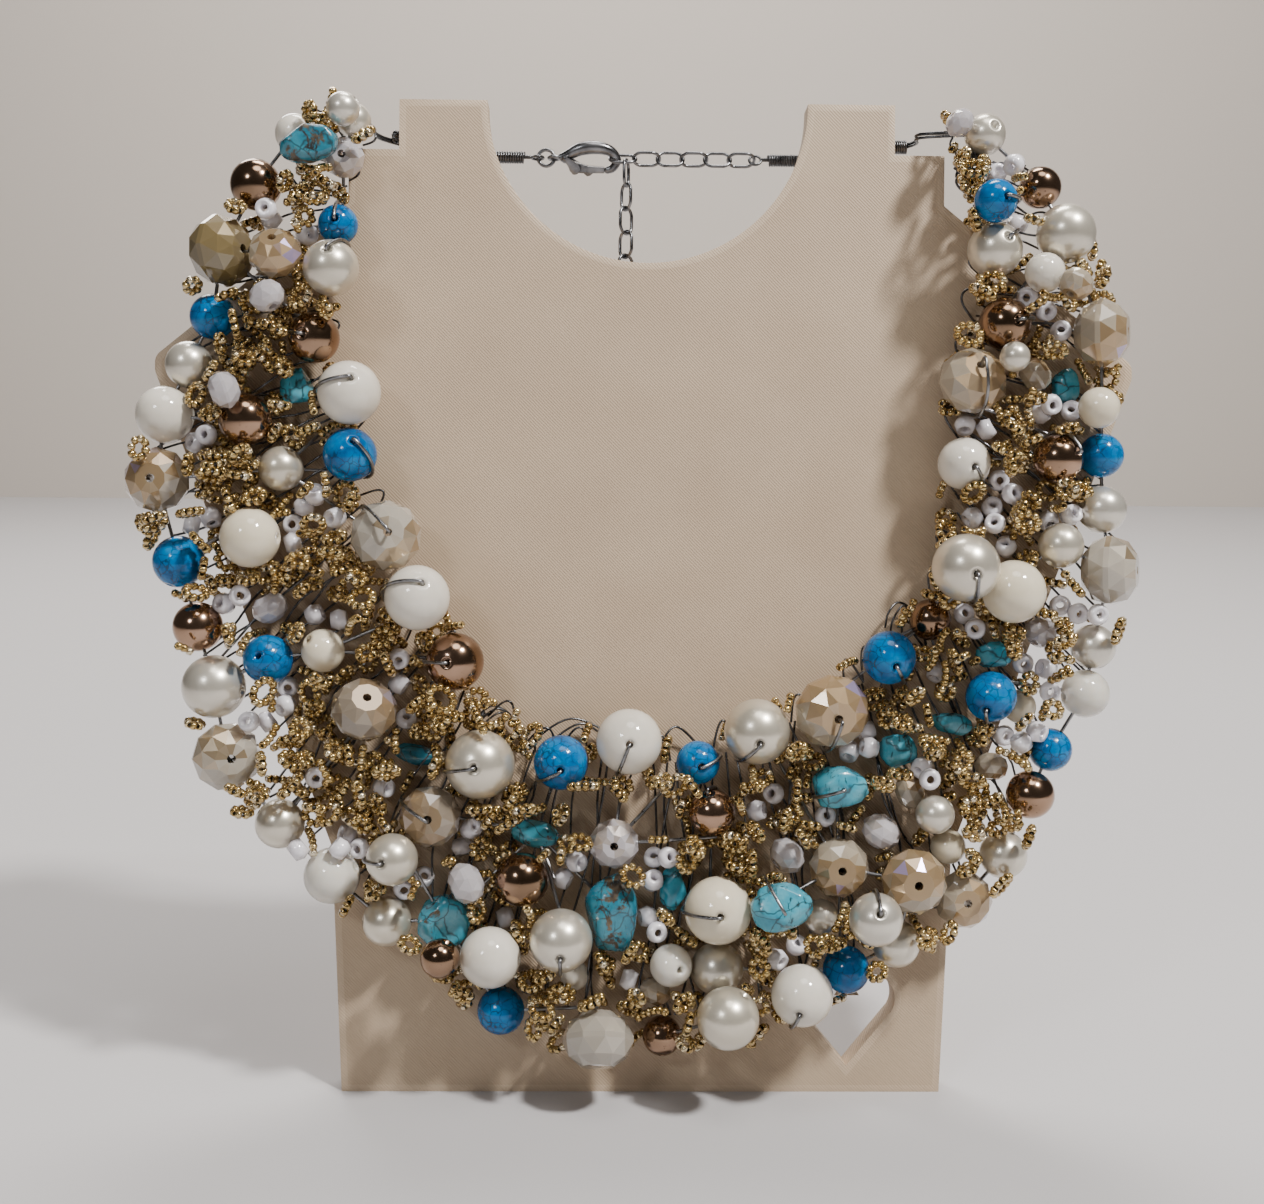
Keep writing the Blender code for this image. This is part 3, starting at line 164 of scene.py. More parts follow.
MAIN_BEADS = [
    Bead("blue", 338, 225, 7.0, 7.0, 3.0, 0.0, 0.1, 90),
    Bead("pearl", 331, 268, 9.6, 9.6, 3.0, 0.0, 0.5, 60),
    Bead("copper", 314, 338, 8.9, 8.9, 3.0, -0.3, 0.0, 170),
    Bead("ivory", 349, 393, 11.1, 11.1, 3.0, 0.2, 0.35, 185),
    Bead("blue", 350, 455, 9.4, 9.4, 3.0, 0.25, 0.45, -40),
    Bead("copper", 245, 420, 9.1, 9.1, 4.0, 0.98, 0.0),
    Bead("cream", 250, 538, 10.4, 10.4, 4.0, 0.98, 0.0),
    Bead("rondelle", 386, 536, 12.4, 12.4, 3.0, 0.2, 0.1, 130, "milky"),
    Bead("ivory", 417, 598, 11.3, 11.3, 3.0, 0.25, 0.45, 175),
    Bead("copper", 455, 662, 10.1, 10.1, 3.0, -0.2, 0.0, 180),
    Bead("rondelle", 364, 710, 11.6, 11.6, 4.0, 0.25, 0.55, None, "smoky"),
    Bead("rondelle", 430, 817, 10.9, 10.9, 4.0, 0.0, 0.0, 150, "smoky"),
    Bead("pearl", 392, 860, 8.9, 8.9, 4.0, -0.3, 0.0, 180),
    Bead("pearl", 480, 765, 12.1, 12.1, 3.5, -0.1, 0.0, 190),
    Bead("blue", 561, 763, 9.6, 9.6, 3.0, 0.0, -0.2, 215),
    Bead("ivory", 629, 742, 11.5, 11.5, 3.0, 0.0, 0.0, 250),
    Bead("copper", 522, 880, 9.4, 9.4, 4.0, -0.98, 0.0),
    Bead("nugget", 612, 914, 9.9, 14.4, 3.0, 0.0, 0.0, None, "dark"),
    Bead("pearl", 561, 941, 10.9, 10.9, 4.0, 0.0, -0.4, 270),
    Bead("ivory", 490, 958, 10.6, 10.6, 3.0, 0.98, 0.0),
    Bead("rondelle", 598, 1040, 12.5, 12.5, 3.0, 0.0, -0.9, None, "milky"),
    Bead("blue", 698, 763, 7.7, 7.7, 3.0, 0.1, -0.1, 20),
    Bead("copper", 712, 813, 8.2, 8.2, 4.0, -0.2, 0.9, 90),
    Bead("pearl", 757, 732, 11.5, 11.5, 3.0, 0.0, -0.3, 235),
    Bead("rondelle", 832, 712, 13.3, 13.3, 3.0, 0.1, -0.2, 260, "champagne"),
    Bead("cream", 718, 911, 11.8, 11.8, 4.0, 0.0, 0.0, 180),
    Bead("nugget", 781, 907, 11.1, 9.2, 4.0, 0.0, 0.0, 120, "bright"),
    Bead("nugget", 840, 787, 9.7, 7.7, 4.0, 0.0, 0.0, 200, "bright"),
    Bead("ivory", 802, 996, 10.8, 10.8, 3.0, -0.2, -0.4, 250),
    Bead("pearl", 876, 920, 9.2, 9.2, 4.0, 0.0, 0.4, 90),
    Bead("blue", 889, 658, 9.4, 9.4, 3.0, 0.1, -0.3, 300),
    Bead("blue", 991, 697, 8.9, 8.9, 4.0, -0.37, -0.5, 265),
    Bead("cream", 1014, 592, 10.9, 10.9, 3.0, 0.7, -0.68),
    Bead("pearl", 966, 568, 11.5, 11.5, 3.0, 0.1, -0.2, 280),
    Bead("ivory", 964, 464, 9.2, 9.2, 3.0, 0.2, -0.2, 310),
    Bead("copper", 1058, 459, 8.7, 8.7, 4.0, 0.6, 0.2, 95),
    Bead("rondelle", 973, 381, 12.1, 12.1, 3.0, 0.1, 0.5, 275, "champagne"),
    Bead("copper", 1005, 324, 9.2, 9.2, 3.0, 0.3, 0.0, 10),
    Bead("pearl", 995, 250, 9.6, 9.6, 3.0, 0.3, 0.3, 40),
    Bead("blue", 996, 201, 7.4, 7.4, 3.0, 0.3, 0.0, 0),
]

NET_BEADS = [
    Bead("round", 354, 121, 6.2, 6.2, 0.5, look="pearl"),
    Bead("nugget", 308, 143, 10.4, 7.0, 3.0, look="dark"),
    Bead("round", 295, 134, 7.0, 7.0, 0.5, look="ivory"),
    Bead("rondelle", 344, 158, 7.3, 7.3, 1.0, look="opal"),
    Bead("round", 256, 185, 8.9, 8.9, 1.0, look="copper"),
    Bead("rondelle", 222, 251, 12.5, 12.5, 0.5, 0.9, 0.0, look="khaki"),
    Bead("rondelle", 275, 253, 9.4, 9.4, 1.0, 0.0, 0.6, look="champagne"),
    Bead("round", 213, 317, 8.0, 8.0, 1.0, look="blue"),
    Bead("round", 189, 365, 8.2, 8.2, 1.0, look="pearl"),
    Bead("round", 165, 415, 10.1, 10.1, 0.5, look="ivory"),
    Bead("round", 281, 469, 7.9, 7.9, 2.0, look="pearl"),
    Bead("rondelle", 157, 480, 11.5, 11.5, 0.5, look="champagne"),
    Bead("round", 179, 562, 9.1, 9.1, 1.0, look="blue"),
    Bead("round", 198, 627, 8.7, 8.7, 1.0, look="copper"),
    Bead("round", 323, 651, 7.7, 7.7, 2.5, -0.6, 0.5, 150, "cream"),
    Bead("round", 268, 660, 8.7, 8.7, 2.5, -0.2, 0.2, 75, "blue"),
    Bead("round", 214, 687, 11.1, 11.1, 0.5, look="pearl"),
    Bead("rondelle", 227, 757, 12.0, 12.0, 0.5, 0.4, 0.0, look="milky"),
    Bead("round", 280, 824, 8.7, 8.7, 1.0, look="pearl"),
    Bead("round", 332, 876, 9.9, 9.9, 0.5, look="milky"),
    Bead("round", 387, 922, 8.7, 8.7, 0.5, look="pearl"),
    Bead("nugget", 444, 920, 9.7, 10.3, 2.5, look="bright"),
    Bead("nugget", 537, 834, 9.4, 5.3, 2.0, look="bright"),
    Bead("rondelle", 614, 844, 8.9, 8.9, 2.0, look="opal"),
    Bead("round", 501, 1011, 8.4, 8.4, 1.0, look="blue"),
    Bead("round", 662, 1036, 7.0, 7.0, 1.0, 0.0, -0.9, look="copper"),
    Bead("rondelle", 839, 868, 10.8, 10.8, 1.0, look="champagne"),
    Bead("round", 896, 944, 8.5, 8.5, 0.5, look="pearl"),
    Bead("rondelle", 914, 882, 11.6, 11.6, 2.0, look="champagne"),
    Bead("rondelle", 963, 900, 10.4, 10.4, 0.5, look="champagne"),
    Bead("round", 717, 969, 9.4, 9.4, 0.5, look="pearl"),
    Bead("round", 728, 1019, 10.8, 10.8, 1.5, look="pearl"),
    Bead("round", 846, 970, 8.4, 8.4, 0.5, look="blue"),
    Bead("round", 930, 620, 7.4, 7.4, 1.0, look="copper"),
    Bead("round", 1093, 647, 8.0, 8.0, 0.5, look="pearl"),
    Bead("round", 1085, 694, 8.5, 8.5, 0.5, look="milky"),
    Bead("round", 1050, 750, 7.7, 7.7, 0.5, look="blue"),
    Bead("round", 1030, 795, 8.5, 8.5, 2.0, look="copper"),
    Bead("round", 1003, 855, 8.5, 8.5, 1.0, look="pearl"),
    Bead("round", 1101, 456, 7.9, 7.9, 0.5, look="blue"),
    Bead("round", 1102, 510, 8.5, 8.5, 0.5, look="pearl"),
    Bead("round", 1061, 546, 7.9, 7.9, 2.0, look="pearl"),
    Bead("rondelle", 1110, 571, 12.5, 12.5, 0.5, 0.9, 0.0, look="milky"),
    Bead("round", 985, 135, 7.3, 7.3, 1.0, 0.3, 0.2, 20, "pearl"),
    Bead("round", 1040, 188, 7.4, 7.4, 0.5, look="copper"),
    Bead("round", 1066, 234, 10.4, 10.4, 1.5, look="pearl"),
    Bead("rondelle", 1102, 333, 12.0, 12.0, 1.5, 0.9, 0.0, look="champagne"),
]

SMALL_BEADS = [
    Bead("round", 343, 109, 5.8, 5.8, 0.5, look="pearl"),
    Bead("rondelle", 267, 296, 6.2, 6.2, 1.0, look="opal"),
    Bead("nugget", 297, 387, 6.2, 6.7, 2.0, look="bright"),
    Bead("rondelle", 224, 390, 6.5, 6.5, 2.0, look="opal"),
    Bead("rondelle", 270, 608, 6.5, 6.5, 2.0, look="opal"),
    Bead("nugget", 418, 755, 9.0, 4.0, 1.0, look="dark"),
    Bead("rondelle", 466, 884, 7.4, 7.4, 2.0, look="opal"),
    Bead("round", 440, 959, 6.8, 6.8, 0.5, look="copper"),
    Bead("round", 575, 976, 5.2, 5.2, 0.5, look="ivory"),
    Bead("round", 671, 966, 7.5, 7.5, 3.0, 0.4, 0.0, look="milky"),
    Bead("rondelle", 655, 992, 6.0, 6.0, 1.0, look="champagne"),
    Bead("nugget", 673, 888, 5.1, 8.5, 1.0, look="bright"),
    Bead("rondelle", 787, 856, 6.8, 6.8, 2.0, look="opal"),
    Bead("rondelle", 881, 832, 7.2, 7.2, 2.0, look="opal"),
    Bead("round", 821, 917, 6.3, 6.3, 0.5, look="pearl"),
    Bead("nugget", 994, 655, 7.0, 5.0, 2.0, look="bright"),
    Bead("rondelle", 1041, 633, 6.2, 6.2, 2.0, look="opal"),
    Bead("round", 1019, 707, 6.0, 6.0, 1.0, look="cream"),
    Bead("nugget", 952, 724, 8.2, 4.1, 2.0, look="bright"),
    Bead("nugget", 898, 750, 6.8, 7.0, 2.0, look="bright"),
    Bead("rondelle", 991, 767, 6.2, 6.2, 1.0, look="champagne"),
    Bead("rondelle", 910, 792, 6.4, 6.4, 2.0, look="champagne"),
    Bead("round", 935, 815, 6.8, 6.8, 2.5, look="pearl"),
    Bead("round", 948, 847, 6.3, 6.3, 1.0, look="cream"),
    Bead("round", 1099, 408, 7.2, 7.2, 1.0, look="cream"),
    Bead("rondelle", 960, 123, 5.4, 5.4, 0.5, look="opal"),
    Bead("round", 1045, 273, 7.0, 7.0, 2.0, look="ivory"),
    Bead("rondelle", 1076, 284, 6.2, 6.2, 1.0, look="champagne"),
    Bead("round", 1015, 357, 5.2, 5.2, 0.5, look="pearl"),
    Bead("rondelle", 1035, 375, 6.6, 6.6, 2.0, look="champagne"),
    Bead("nugget", 1066, 386, 5.1, 6.5, 1.0, look="bright"),
]
print("beads:", len(MAIN_BEADS), "main,", len(NET_BEADS), "in the net,", len(SMALL_BEADS), "small")

# %% [markdown]
# ## Placing a bead by its line of sight
#
# A bead's pixel gives a ray from the eye. The bead may lie anywhere on that ray, so it
# starts near the board and slides towards the eye until it is clear of all the beads that
# already lie there. Two ellipsoids are clear of each other when, along the line between
# their middles, their reaches and the gap fit into the distance. The solids were placed by
# the same walk, so the same rows give the same places.

# %% Line of sight
# Pixels of the uppermost, the leftmost and the lowest bead, and of the line between the halves
NEAR_TOP = (354, 121)
FAR_SIDE = (157, 480)
LOWEST = (598, 1040)
AXIS_X = 648


def seen_place(x_px, y_px, lift):
    """The photographed place of a point of the view that lies lift off the board's face."""
    right, up, forward = view_axes()
    ray = (forward * VIEW_FOCAL_PX + right * (x_px - VIEW_WIDTH_PX / 2)
           + up * (VIEW_HEIGHT_PX / 2 - y_px))
    to_board = LEAN.to_3x3().transposed()
    eye = to_board @ VIEW_EYE
    ray = to_board @ ray
    reach = (BOARD_FACE - lift - eye.y) / ray.y
    return eye + ray * reach


HALF_SEEN = seen_place(AXIS_X, FAR_SIDE[1], 0.0).x - seen_place(*FAR_SIDE, 0.0).x
TOP_SEEN = seen_place(*NEAR_TOP, 0.0).z
DROP_SEEN = TOP_SEEN - seen_place(*LOWEST, 0.0).z


def place_px(x_px, y_px, lift):
    """A place of the view in the board's frame, at the necklace's real width and drop."""
    seen = seen_place(x_px, y_px, lift)
    return np.array([seen.x * NECKLACE_HALF_WIDTH / HALF_SEEN, seen.y,
                     BOARD_HEIGHT - NECKLACE_TOP_INSET - (TOP_SEEN - seen.z) * NECKLACE_DROP / DROP_SEEN])


def bead_place(bead, lift):
    return place_px(bead.x, bead.y, lift)


def shown_px(places):
    """Where places of the board's frame show in the view, and how far from the eye they are."""
    right, up, forward = (np.array(axis) for axis in view_axes())
    seen = np.asarray(places) @ np.array(LEAN.to_3x3()).T - np.array(VIEW_EYE)
    away = seen @ forward
    return np.stack([VIEW_WIDTH_PX / 2 + VIEW_FOCAL_PX * (seen @ right) / away,
                     VIEW_HEIGHT_PX / 2 - VIEW_FOCAL_PX * (seen @ up) / away], 1), away


print("half width seen:", round(HALF_SEEN, 4), "drop seen:", round(DROP_SEEN, 4))

# %% Bead sizes and directions
TINY = 1e-12


def bead_semi_axes(bead):
    """Half width, half height and half depth along the hole."""
    wide = bead.wide * MM / 2
    tall = bead.tall * MM / 2
    if bead.kind == "rondelle":
        return wide, tall, wide * RONDELLE_LENGTH_SHARE
    if bead.kind == "nugget":
        return wide, tall, min(wide, tall) * NUGGET_DEPTH_SHARE
    return wide, tall, wide


def bead_turn(bead):
    """Columns: the bead's own x, y and hole axis z, in the board's frame."""
    slant = min(MOST_SLANT, math.hypot(bead.hole_right, bead.hole_up))
    hole = Vector((bead.hole_right, -math.sqrt(1 - slant ** 2), bead.hole_up)).normalized()
    across = Vector((0, 0, 1)).cross(hole)
    across.normalize()
    return np.array([across, hole.cross(across), hole]).T


def bead_hull(bead):
    """Matrix whose product with a direction has the length of the bead's reach that way."""
    wide, tall, deep = bead_semi_axes(bead)
    if bead.kind == "rondelle":
        wide = wide * RONDELLE_RIM_SPREAD
        tall = tall * RONDELLE_RIM_SPREAD
        deep = deep * RONDELLE_TABLE_SPREAD
    return np.diag([wide, tall, deep]) @ bead_turn(bead).T


def nearest_on_segments(starts, ends, point):
    """For each segment, the place on it that is nearest to the point."""
    along = ends - starts
    length = np.maximum(np.einsum("ni,ni->n", along, along), TINY)
    share = np.clip(np.einsum("ni,ni->n", point - starts, along) / length, 0, 1)
    return starts + share[:, None] * along


def ways_to(start, end):
    """Directions and distances from start to end, row by row."""
    apart = end - start
    distance = np.linalg.norm(apart, axis=1)
    return apart / np.maximum(distance, TINY)[:, None], distance


def reaches(hulls, ways):
    """How far each ellipsoid reaches along its own direction."""
    return np.linalg.norm(np.einsum("nij,nj->ni", hulls, ways), axis=1)


class Crowd:
    """The beads and wires that are already placed."""

    def __init__(self):
        self.centres = np.zeros((0, 3))
        self.hulls = np.zeros((0, 3, 3))
        self.starts = np.zeros((0, 3))
        self.ends = np.zeros((0, 3))
        self.radii = np.zeros(0)

    def add_bead(self, centre, hull):
        self.centres = np.vstack([self.centres, centre])
        self.hulls = np.concatenate([self.hulls, hull[None]])

    def add_wire(self, start, end, radius):
        self.starts = np.vstack([self.starts, start])
        self.ends = np.vstack([self.ends, end])
        self.radii = np.append(self.radii, radius)

    def bead_clear(self, centre, hull, gap=GAP):
        """True where an ellipsoid keeps clear of each bead and wire."""
        if len(self.centres):
            ways, distance = ways_to(centre, self.centres)
            own = np.linalg.norm(ways @ hull.T, axis=1)
            if np.any(distance < own + reaches(self.hulls, ways) + gap):
                return False
        if len(self.starts):
            ways, distance = ways_to(centre, nearest_on_segments(self.starts, self.ends, centre))
            own = np.linalg.norm(ways @ hull.T, axis=1)
            if np.any(distance < own + self.radii + gap):
                return False
        return True

    def balls_clear(self, points, radius):
        """True where small balls keep clear of each bead."""
        apart = self.centres[:, None, :] - points[None, :, :]
        distance = np.linalg.norm(apart, axis=2)
        ways = apart / np.maximum(distance, TINY)[:, :, None]
        reach = np.linalg.norm(np.einsum("nij,nkj->nki", self.hulls, ways), axis=2)
        return not np.any(distance < reach + radius)

    def wire_clear(self, start, end, radius, skip):
        """True where a straight wire keeps clear of each bead that isn't skipped."""
        keep = [i for i in range(len(self.centres)) if i not in skip]
        if not keep:
            return True
        centres = self.centres[keep]
        along = end - start
        share = np.clip((centres - start) @ along / max(along @ along, TINY), 0, 1)
        ways, distance = ways_to(centres, start + share[:, None] * along)
        return not np.any(distance < reaches(self.hulls[keep], ways) + radius + GAP)


# %% The net's beads and the wires that tie them


def is_left(centre):
    """Whether a place is on the left half of the necklace."""
    return centre[0] < 0


def back_reach(hull):
    """How far a bead reaches towards the board from its middle."""
    return float(np.linalg.norm(hull @ np.array([0.0, 1.0, 0.0])))


def settle(bead, crowd):
    """Slides a bead along its line of sight until it is clear, and adds it to the crowd."""
    hull = bead_hull(bead)
    lift = bead.rise * MM + back_reach(hull)
    while not crowd.bead_clear(bead_place(bead, lift), hull):
        lift += RISE_STEP
    centre = bead_place(bead, lift)
    crowd.add_bead(centre, hull)
    return centre


def link_net_beads(centres, crowd):
    """The shortest wires that tie each side's beads into one net."""
    wires = []
    for left in (True, False):
        side = [i for i in range(len(centres)) if is_left(centres[i]) == left]
        tied = [side[0]]
        loose = side[1:]
        while loose:
            pairs = sorted((np.linalg.norm(centres[a] - centres[b]), a, b) for a in tied for b in loose)
            clear = [pair for pair in pairs[:PAIR_CHOICES]
                     if crowd.wire_clear(centres[pair[1]], centres[pair[2]], NET_WIRE_RADIUS, side)]
            _, a, b = (clear or pairs)[0]
            wires.append((centres[a], centres[b]))
            tied.append(b)
            loose.remove(b)
    for start, end in wires:
        crowd.add_wire(start, end, NET_WIRE_RADIUS)
    return wires


crowd = Crowd()
net_rows = sorted(NET_BEADS, key=lambda row: row.rise)
net_centres = np.array([settle(bead, crowd) for bead in net_rows])
net_wires = link_net_beads(net_centres, crowd)
print("net beads placed:", len(net_centres), "and tied by", len(net_wires), "wires")

# %% The main beads, each on a wire of the net


def own_clear(start, end, centre, bead):
    """True where the arm passes behind the bead that it carries."""
    wide, _, deep = bead_semi_axes(bead)
    turn = bead_turn(bead).T
    hull = np.diag(bead_semi_axes(bead)) @ turn
    margin = POST_WIRE_RADIUS + GAP / 2
    for share in np.linspace(0, 1, ARM_TESTS):
        apart = start + (end - start) * share - centre
        x, y, z = turn @ apart
        distance = np.linalg.norm(apart)
        reach = float(np.linalg.norm(hull @ apart)) / distance
        beside = math.hypot(x, y) >= wide + margin or abs(z) >= deep + margin
        if distance < reach + margin or (bead.kind == "rondelle" and not beside):
            return False
    return True


def find_arm(bead, centre, crowd):
    """The nearest bead of the net from which a straight wire reaches the back of this bead."""
    axis = bead_turn(bead)[:, 2]
    deep = bead_semi_axes(bead)[2]
    behind = centre - axis * (deep + GAP + 2 * POST_WIRE_RADIUS)
    front = centre + axis * (deep + WIRE_TIP)
    floor = BOARD_FACE - POST_WIRE_RADIUS - GAP
    if behind[1] > floor or not crowd.wire_clear(front, front, POST_WIRE_RADIUS, []):
        return None
    elbow = behind + axis * POST_WIRE_RADIUS
    for index in np.argsort(np.linalg.norm(net_centres - behind, axis=1))[:ARM_CHOICES]:
        start = net_centres[index]
        side = [i for i in range(len(net_centres)) if is_left(net_centres[i]) == is_left(start)]
        if (crowd.wire_clear(start, behind, POST_WIRE_RADIUS, side)
                and own_clear(start, behind, centre, bead)
                and crowd.wire_clear(behind, elbow, POST_WIRE_RADIUS, side)):
            return start, behind, front
    return None


def place_main_bead(bead, crowd):
    """Slides a main bead along its line of sight until it is clear and a wire reaches it."""
    hull = bead_hull(bead)
    lift = bead.rise * MM + back_reach(hull)
    arm = None
    while arm is None:
        centre = bead_place(bead, lift)
        if crowd.bead_clear(centre, hull):
            arm = find_arm(bead, centre, crowd)
        lift += RISE_STEP
    start, behind, front = arm
    crowd.add_bead(centre, hull)
    crowd.add_wire(start, behind, POST_WIRE_RADIUS)
    crowd.add_wire(front, front, POST_WIRE_RADIUS)
    return centre, start, behind


main_rows = sorted(MAIN_BEADS, key=lambda row: row.rise)
main_places = {bead: place_main_bead(bead, crowd) for bead in main_rows}
small_centres = [settle(bead, crowd) for bead in SMALL_BEADS]
main_names = {}
for bead in MAIN_BEADS:
    number = sum(row.kind == bead.kind for row in main_names) + 1
    main_names[bead] = f"{bead.kind}_{number:02d}"
worst = 0.0
for bead, name in main_names.items():
    low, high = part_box(name)
    middle = LEAN.to_3x3() @ Vector(main_places[bead][0])
    worst = max(worst, ((low + high) / 2 - middle).length)
print("main beads lie within", round(worst / MM, 2), "mm of their solids")

# %% [markdown]
# ## Joining many small shapes into one piece
#
# A bead is modelled once per size, and its copies are joined into one mesh. Three values
# ride along on the points, because a material can't tell one bead of a joined mesh from the
# next by itself: each bead's own coordinates, with z along its hole, a tone that differs
# from bead to bead, and a tone for each facet.

# %% Gathering copies
Shape = namedtuple("Shape", "points faces smooth")


def shape_from_bmesh(bm, smooth=True):
    bmesh.ops.recalc_face_normals(bm, faces=bm.faces)
    bm.verts.ensure_lookup_table()
    points = np.array([v.co for v in bm.verts], float).reshape(-1, 3)
    faces = [[v.index for v in face.verts] for face in bm.faces]
    bm.free()
    return Shape(points, faces, smooth)


# The side of a cut bead that was turned to the coating, which also sets its painted light, and how its tones
# fall off and spread
COATED_AND_LIT_SIDE = Vector((0.66, 0.55, 0.51))
MIDDLE_TONE, TONE_FALL, TONE_SPREAD = 0.5, 0.42, 0.12


def facet_tones(shape, chance):
    """A tone for each facet: high on the side of the bead that was turned to the coating, which is also the
    side of its painted light.
    """
    tones = []
    for face in shape.faces:
        a, b, c = (Vector(shape.points[index]) for index in face[:3])
        facing = (b - a).cross(c - a).normalized().dot(COATED_AND_LIT_SIDE)
        tone = MIDDLE_TONE + TONE_FALL * facing + chance.uniform(-TONE_SPREAD, TONE_SPREAD)
        tones.append(min(1.0, max(0.0, tone)))
    return tones


class Gathering:
    """Copies of shapes, joined into one object."""

    def __init__(self):
        self.points = []
        self.local = []
        self.tones = []
        self.facet_tones = []
        self.faces = []
        self.smooth = []
        self.count = 0

    def add(self, shape, matrix, tone, draws=None):
        """Adds a copy at a place; with a source of draws, each of its facets gets its own tone."""
        matrix = np.array(matrix)
        placed = shape.points @ matrix[:3, :3].T + matrix[:3, 3]
        size = float(np.abs(shape.points).max())
        self.points.append(placed)
        self.local.append(shape.points / size)
        self.tones.append(np.full(len(placed), tone))
        self.faces += [[index + self.count for index in face] for face in shape.faces]
        self.facet_tones += facet_tones(shape, draws) if draws else [tone] * len(shape.faces)
        self.smooth += [shape.smooth] * len(shape.faces)
        self.count += len(placed)

    def build(self, name, finish, slot, nodes=()):
        mesh = bpy.data.meshes.new(name)
        mesh.from_pydata(np.concatenate(self.points).tolist(), [], self.faces)
        local = mesh.attributes.new("bead_local", "FLOAT_VECTOR", "POINT")
        local.data.foreach_set("vector", np.concatenate(self.local).astype(np.float32).ravel())
        tone = mesh.attributes.new("bead_tone", "FLOAT", "POINT")
        tone.data.foreach_set("value", np.concatenate(self.tones).astype(np.float32))
        facet = mesh.attributes.new("facet_tone", "FLOAT", "FACE")
        facet.data.foreach_set("value", np.array(self.facet_tones, np.float32))
        mesh.polygons.foreach_set("use_smooth", self.smooth)
        mesh.update()
        finish_piece(name, mesh, finish, nodes)


def finish_piece(name, data, finish, nodes=(), body=BODY):
    """Links a piece whose place is in its data, gives it its finish and lets it ride."""
    piece = link_object(name, data)
    data.materials.clear()
    data.materials.append(FINISH[finish])
    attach(piece, body)
    if nodes:
        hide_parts(*nodes)


# %% [markdown]
# ## Finishes
#
# Every finish is a Principled shader with a few texture nodes in front of it. A small
# helper adds nodes and links them by name, so that each material reads as a short list.

# %% Node helper


class Finish:
    """One material and the nodes in front of its shader."""

    def __init__(self, name, colour, roughness, metallic=0.0, **sockets):
        self.material = bpy.data.materials.new(name)
        self.material.use_nodes = True
        self.tree = self.material.node_tree
        self.shader = self.tree.nodes["Principled BSDF"]
        self.shader.inputs["Base Color"].default_value = (*colour, 1)
        self.shader.inputs["Roughness"].default_value = roughness
        self.shader.inputs["Metallic"].default_value = metallic
        for socket, value in sockets.items():
            self.shader.inputs[socket.replace("_", " ")].default_value = value

    def node(self, kind, **values):
        made = self.tree.nodes.new(kind)
        for key, value in values.items():
            setattr(made, key, value)
        return made

    def link(self, source, target):
        self.tree.links.new(source, target)

    def object_coords(self, scale=(1, 1, 1), turn=(0, 0, 0)):
        place = self.node("ShaderNodeMapping")
        place.inputs["Scale"].default_value = scale
        place.inputs["Rotation"].default_value = turn
        self.link(self.node("ShaderNodeTexCoord").outputs["Object"], place.inputs["Vector"])
        return place.outputs["Vector"]

    def attribute(self, name):
        return self.node("ShaderNodeAttribute", attribute_name=name).outputs["Fac"]

    def noise(self, vector, scale, detail=3.0, rough=0.5, distortion=0.0):
        made = self.node("ShaderNodeTexNoise")
        made.inputs["Scale"].default_value = scale
        made.inputs["Detail"].default_value = detail
        made.inputs["Roughness"].default_value = rough
        made.inputs["Distortion"].default_value = distortion
        self.link(vector, made.inputs["Vector"])
        return made.outputs["Fac"]

    def cell_edges(self, vector, scale):
        made = self.node("ShaderNodeTexVoronoi", feature="DISTANCE_TO_EDGE")
        made.inputs["Scale"].default_value = scale
        self.link(vector, made.inputs["Vector"])
        return made.outputs["Distance"]

    def ramp(self, value, stops):
        made = self.node("ShaderNodeValToRGB")
        elements = made.color_ramp.elements
        while len(elements) < len(stops):
            elements.new(0.5)
        for element, (place, colour) in zip(elements, stops):
            element.position = place
            element.color = (*colour, 1)
        self.link(value, made.inputs["Fac"])
        return made.outputs["Color"]

    def grey(self, value, low, high, from_low=0.0, from_high=1.0):
        made = self.node("ShaderNodeMapRange")
        made.inputs["From Min"].default_value = from_low
        made.inputs["From Max"].default_value = from_high
        made.inputs["To Min"].default_value = low
        made.inputs["To Max"].default_value = high
        self.link(value, made.inputs["Value"])
        return made.outputs["Result"]

    def mix(self, share, first, second):
        """First to second colour by a share; a colour is a node's output or three numbers."""
        made = self.node("ShaderNodeMix", data_type="RGBA")
        for source, socket in ((share, made.inputs[0]), (first, made.inputs[6]), (second, made.inputs[7])):
            if isinstance(source, tuple):
                socket.default_value = (*source, 1)
            else:
                self.link(source, socket)
        return made.outputs[2]

    def product(self, first, second):
        made = self.node("ShaderNodeMath", operation="MULTIPLY")
        self.link(first, made.inputs[0])
        self.link(second, made.inputs[1])
        return made.outputs[0]

    def bump(self, height, strength, distance):
        made = self.node("ShaderNodeBump")
        made.inputs["Strength"].default_value = strength
        made.inputs["Distance"].default_value = distance
        self.link(height, made.inputs["Height"])
        self.link(made.outputs["Normal"], self.shader.inputs["Normal"])

    def colour(self, source):
        self.link(source, self.shader.inputs["Base Color"])

    def roughness(self, source):
        self.link(source, self.shader.inputs["Roughness"])


# %% [markdown]
# ### Pearls and glossy rounds
#
# A glass pearl is a bead dipped in many coats of pearl lacquer. It mirrors the room softly
# and keeps a sharp highlight on its top coat, which a part-metallic base under a clear coat
# gives. The ivory, cream and milky rounds are plain glossy glass with a little depth.

# %% Pearl and gloss finishes


